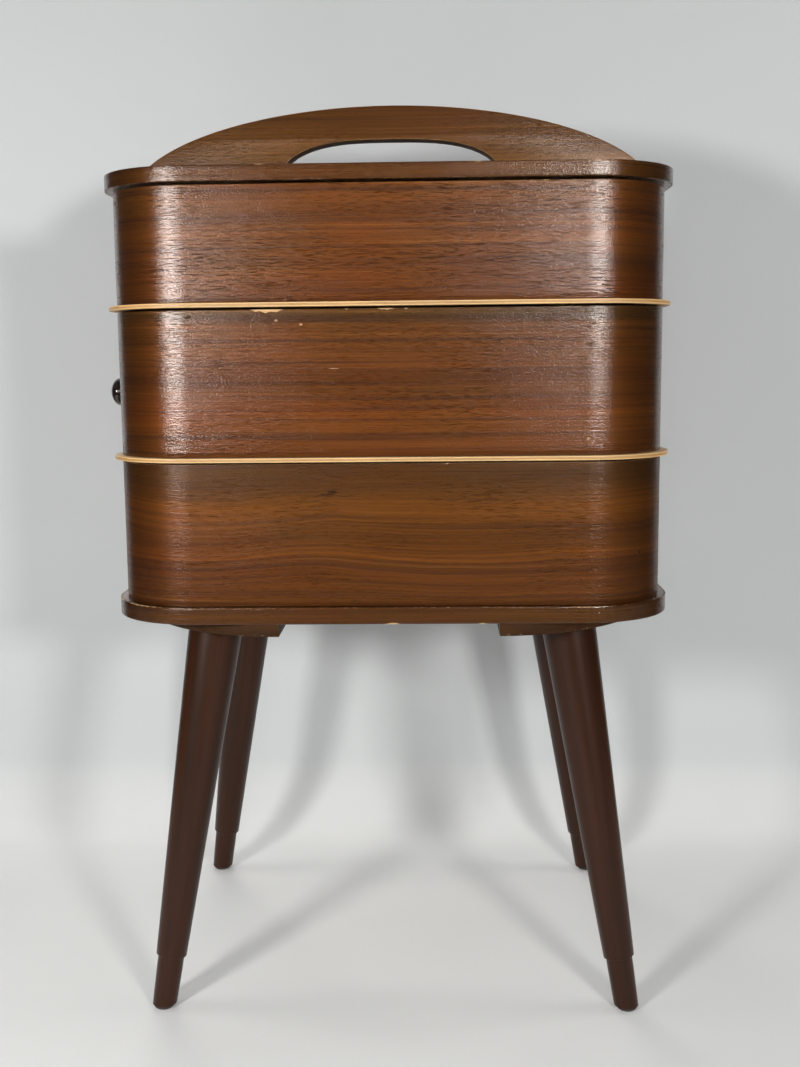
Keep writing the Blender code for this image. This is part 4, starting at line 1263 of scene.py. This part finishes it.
def add_stage():
    half_width, wall_half_width, front, wall_y, cove_r, wall_top = 1.5, 0.62, -0.95, 0.28, 0.08, 1.7
    path = [(front, 0.0), (-0.5, 0.0), (0.0, 0.0)]
    path += [(wall_y - cove_r + cove_r * math.sin(t), cove_r - cove_r * math.cos(t))
             for t in np.linspace(0, math.pi / 2, 9)]
    path += [(wall_y, 1.0), (wall_y, wall_top)]
    halves = [half_width] * 3 + [wall_half_width] * (len(path) - 3)
    vertices = [(side * half, y, z) for (y, z), half in zip(path, halves) for side in (-1, 1)]
    faces = [(2 * i, 2 * i + 1, 2 * i + 3, 2 * i + 2) for i in range(len(path) - 1)]
    sweep = mesh_object("backdrop", vertices, faces)
    sweep.data.materials.append(paper((0.73, 0.735, 0.73), (0.59, 0.61, 0.62)))
    for polygon in sweep.data.polygons:
        polygon.use_smooth = True
    sweep.visible_shadow = False       # lets the back lamp light the object's back through the wall


def add_lamp(name, location, size_x, size_y, power, diffuse=True, glossy=True):
    """A softbox. The sheen lamps show only in the lacquer, and most others only light the surfaces."""
    light = bpy.data.lights.new(name, "AREA")
    light.shape = "RECTANGLE"
    light.size, light.size_y = size_x, size_y
    light.energy = power
    light.color = (1.0, 0.985, 0.96)
    lamp = object_from(name, light)
    lamp.location = location
    lamp.rotation_euler = (Vector(AIM) - Vector(location)).to_track_quat("-Z", "Y").to_euler()
    lamp.visible_diffuse = diffuse
    lamp.visible_glossy = glossy


def add_world():
    world = bpy.data.worlds.new("studio")
    world.use_nodes = True
    nodes, links = world.node_tree.nodes, world.node_tree.links
    direction = nodes.new("ShaderNodeTexCoord").outputs["Generated"]
    split = nodes.new("ShaderNodeSeparateXYZ")
    links.new(direction, split.inputs[0])
    lift = nodes.new("ShaderNodeMapRange")
    for index, value in ((1, 0.1), (2, 0.95), (3, 0.03), (4, 0.22)):
        lift.inputs[index].default_value = value
    links.new(split.outputs[2], lift.inputs[0])
    seen = nodes.new("ShaderNodeMix")      # the open background itself shows as plain pale grey
    links.new(nodes.new("ShaderNodeLightPath").outputs["Is Camera Ray"], seen.inputs[0])
    links.new(lift.outputs[0], seen.inputs[2])
    seen.inputs[3].default_value = 0.62
    background = nodes["Background"]
    background.inputs[0].default_value = (0.95, 0.98, 1.0, 1.0)
    links.new(seen.outputs[0], background.inputs[1])
    bpy.context.scene.world = world


def add_camera():
    data = bpy.data.cameras.new("camera")
    data.sensor_width = 36.0
    data.lens = 42.38
    camera = object_from("camera", data)
    turn = (Matrix.Rotation(math.radians(1.65), 4, "Z") @ Matrix.Rotation(math.radians(82.17), 4, "X")
            @ Matrix.Rotation(math.radians(-0.59), 4, "Z"))
    camera.matrix_world = Matrix.Translation((0.04869, -1.09482, 0.5174)) @ turn
    bpy.context.scene.camera = camera


add_stage()
add_lamp("left_softbox", (-0.6775, -1.13, 0.65), 0.18, 0.14, 10.2, glossy=False)
add_lamp("right_softbox", (0.7625, -1.69, 0.70), 0.22, 0.16, 16.2, glossy=False)
add_lamp("front_fill", (0.03, -1.75, 0.62), 0.45, 0.20, 4.6, glossy=False)
add_lamp("left_sheen", (-0.6775, -1.13, 0.640), 0.50, 0.24, 13.5, diffuse=False)
add_lamp("right_sheen", (0.7625, -1.69, 0.86), 0.62, 0.22, 23.0, diffuse=False)
add_lamp("left_side", (-1.35, 0.05, 1.05), 0.60, 0.45, 4.5, glossy=False)
add_lamp("right_side", (1.35, 0.05, 1.05), 0.60, 0.45, 4.5, glossy=False)
add_lamp("back_softbox", (-0.55, 1.75, 1.35), 1.00, 0.80, 12.0)
add_world()
add_camera()
bpy.context.scene.view_settings.view_transform = "Standard"
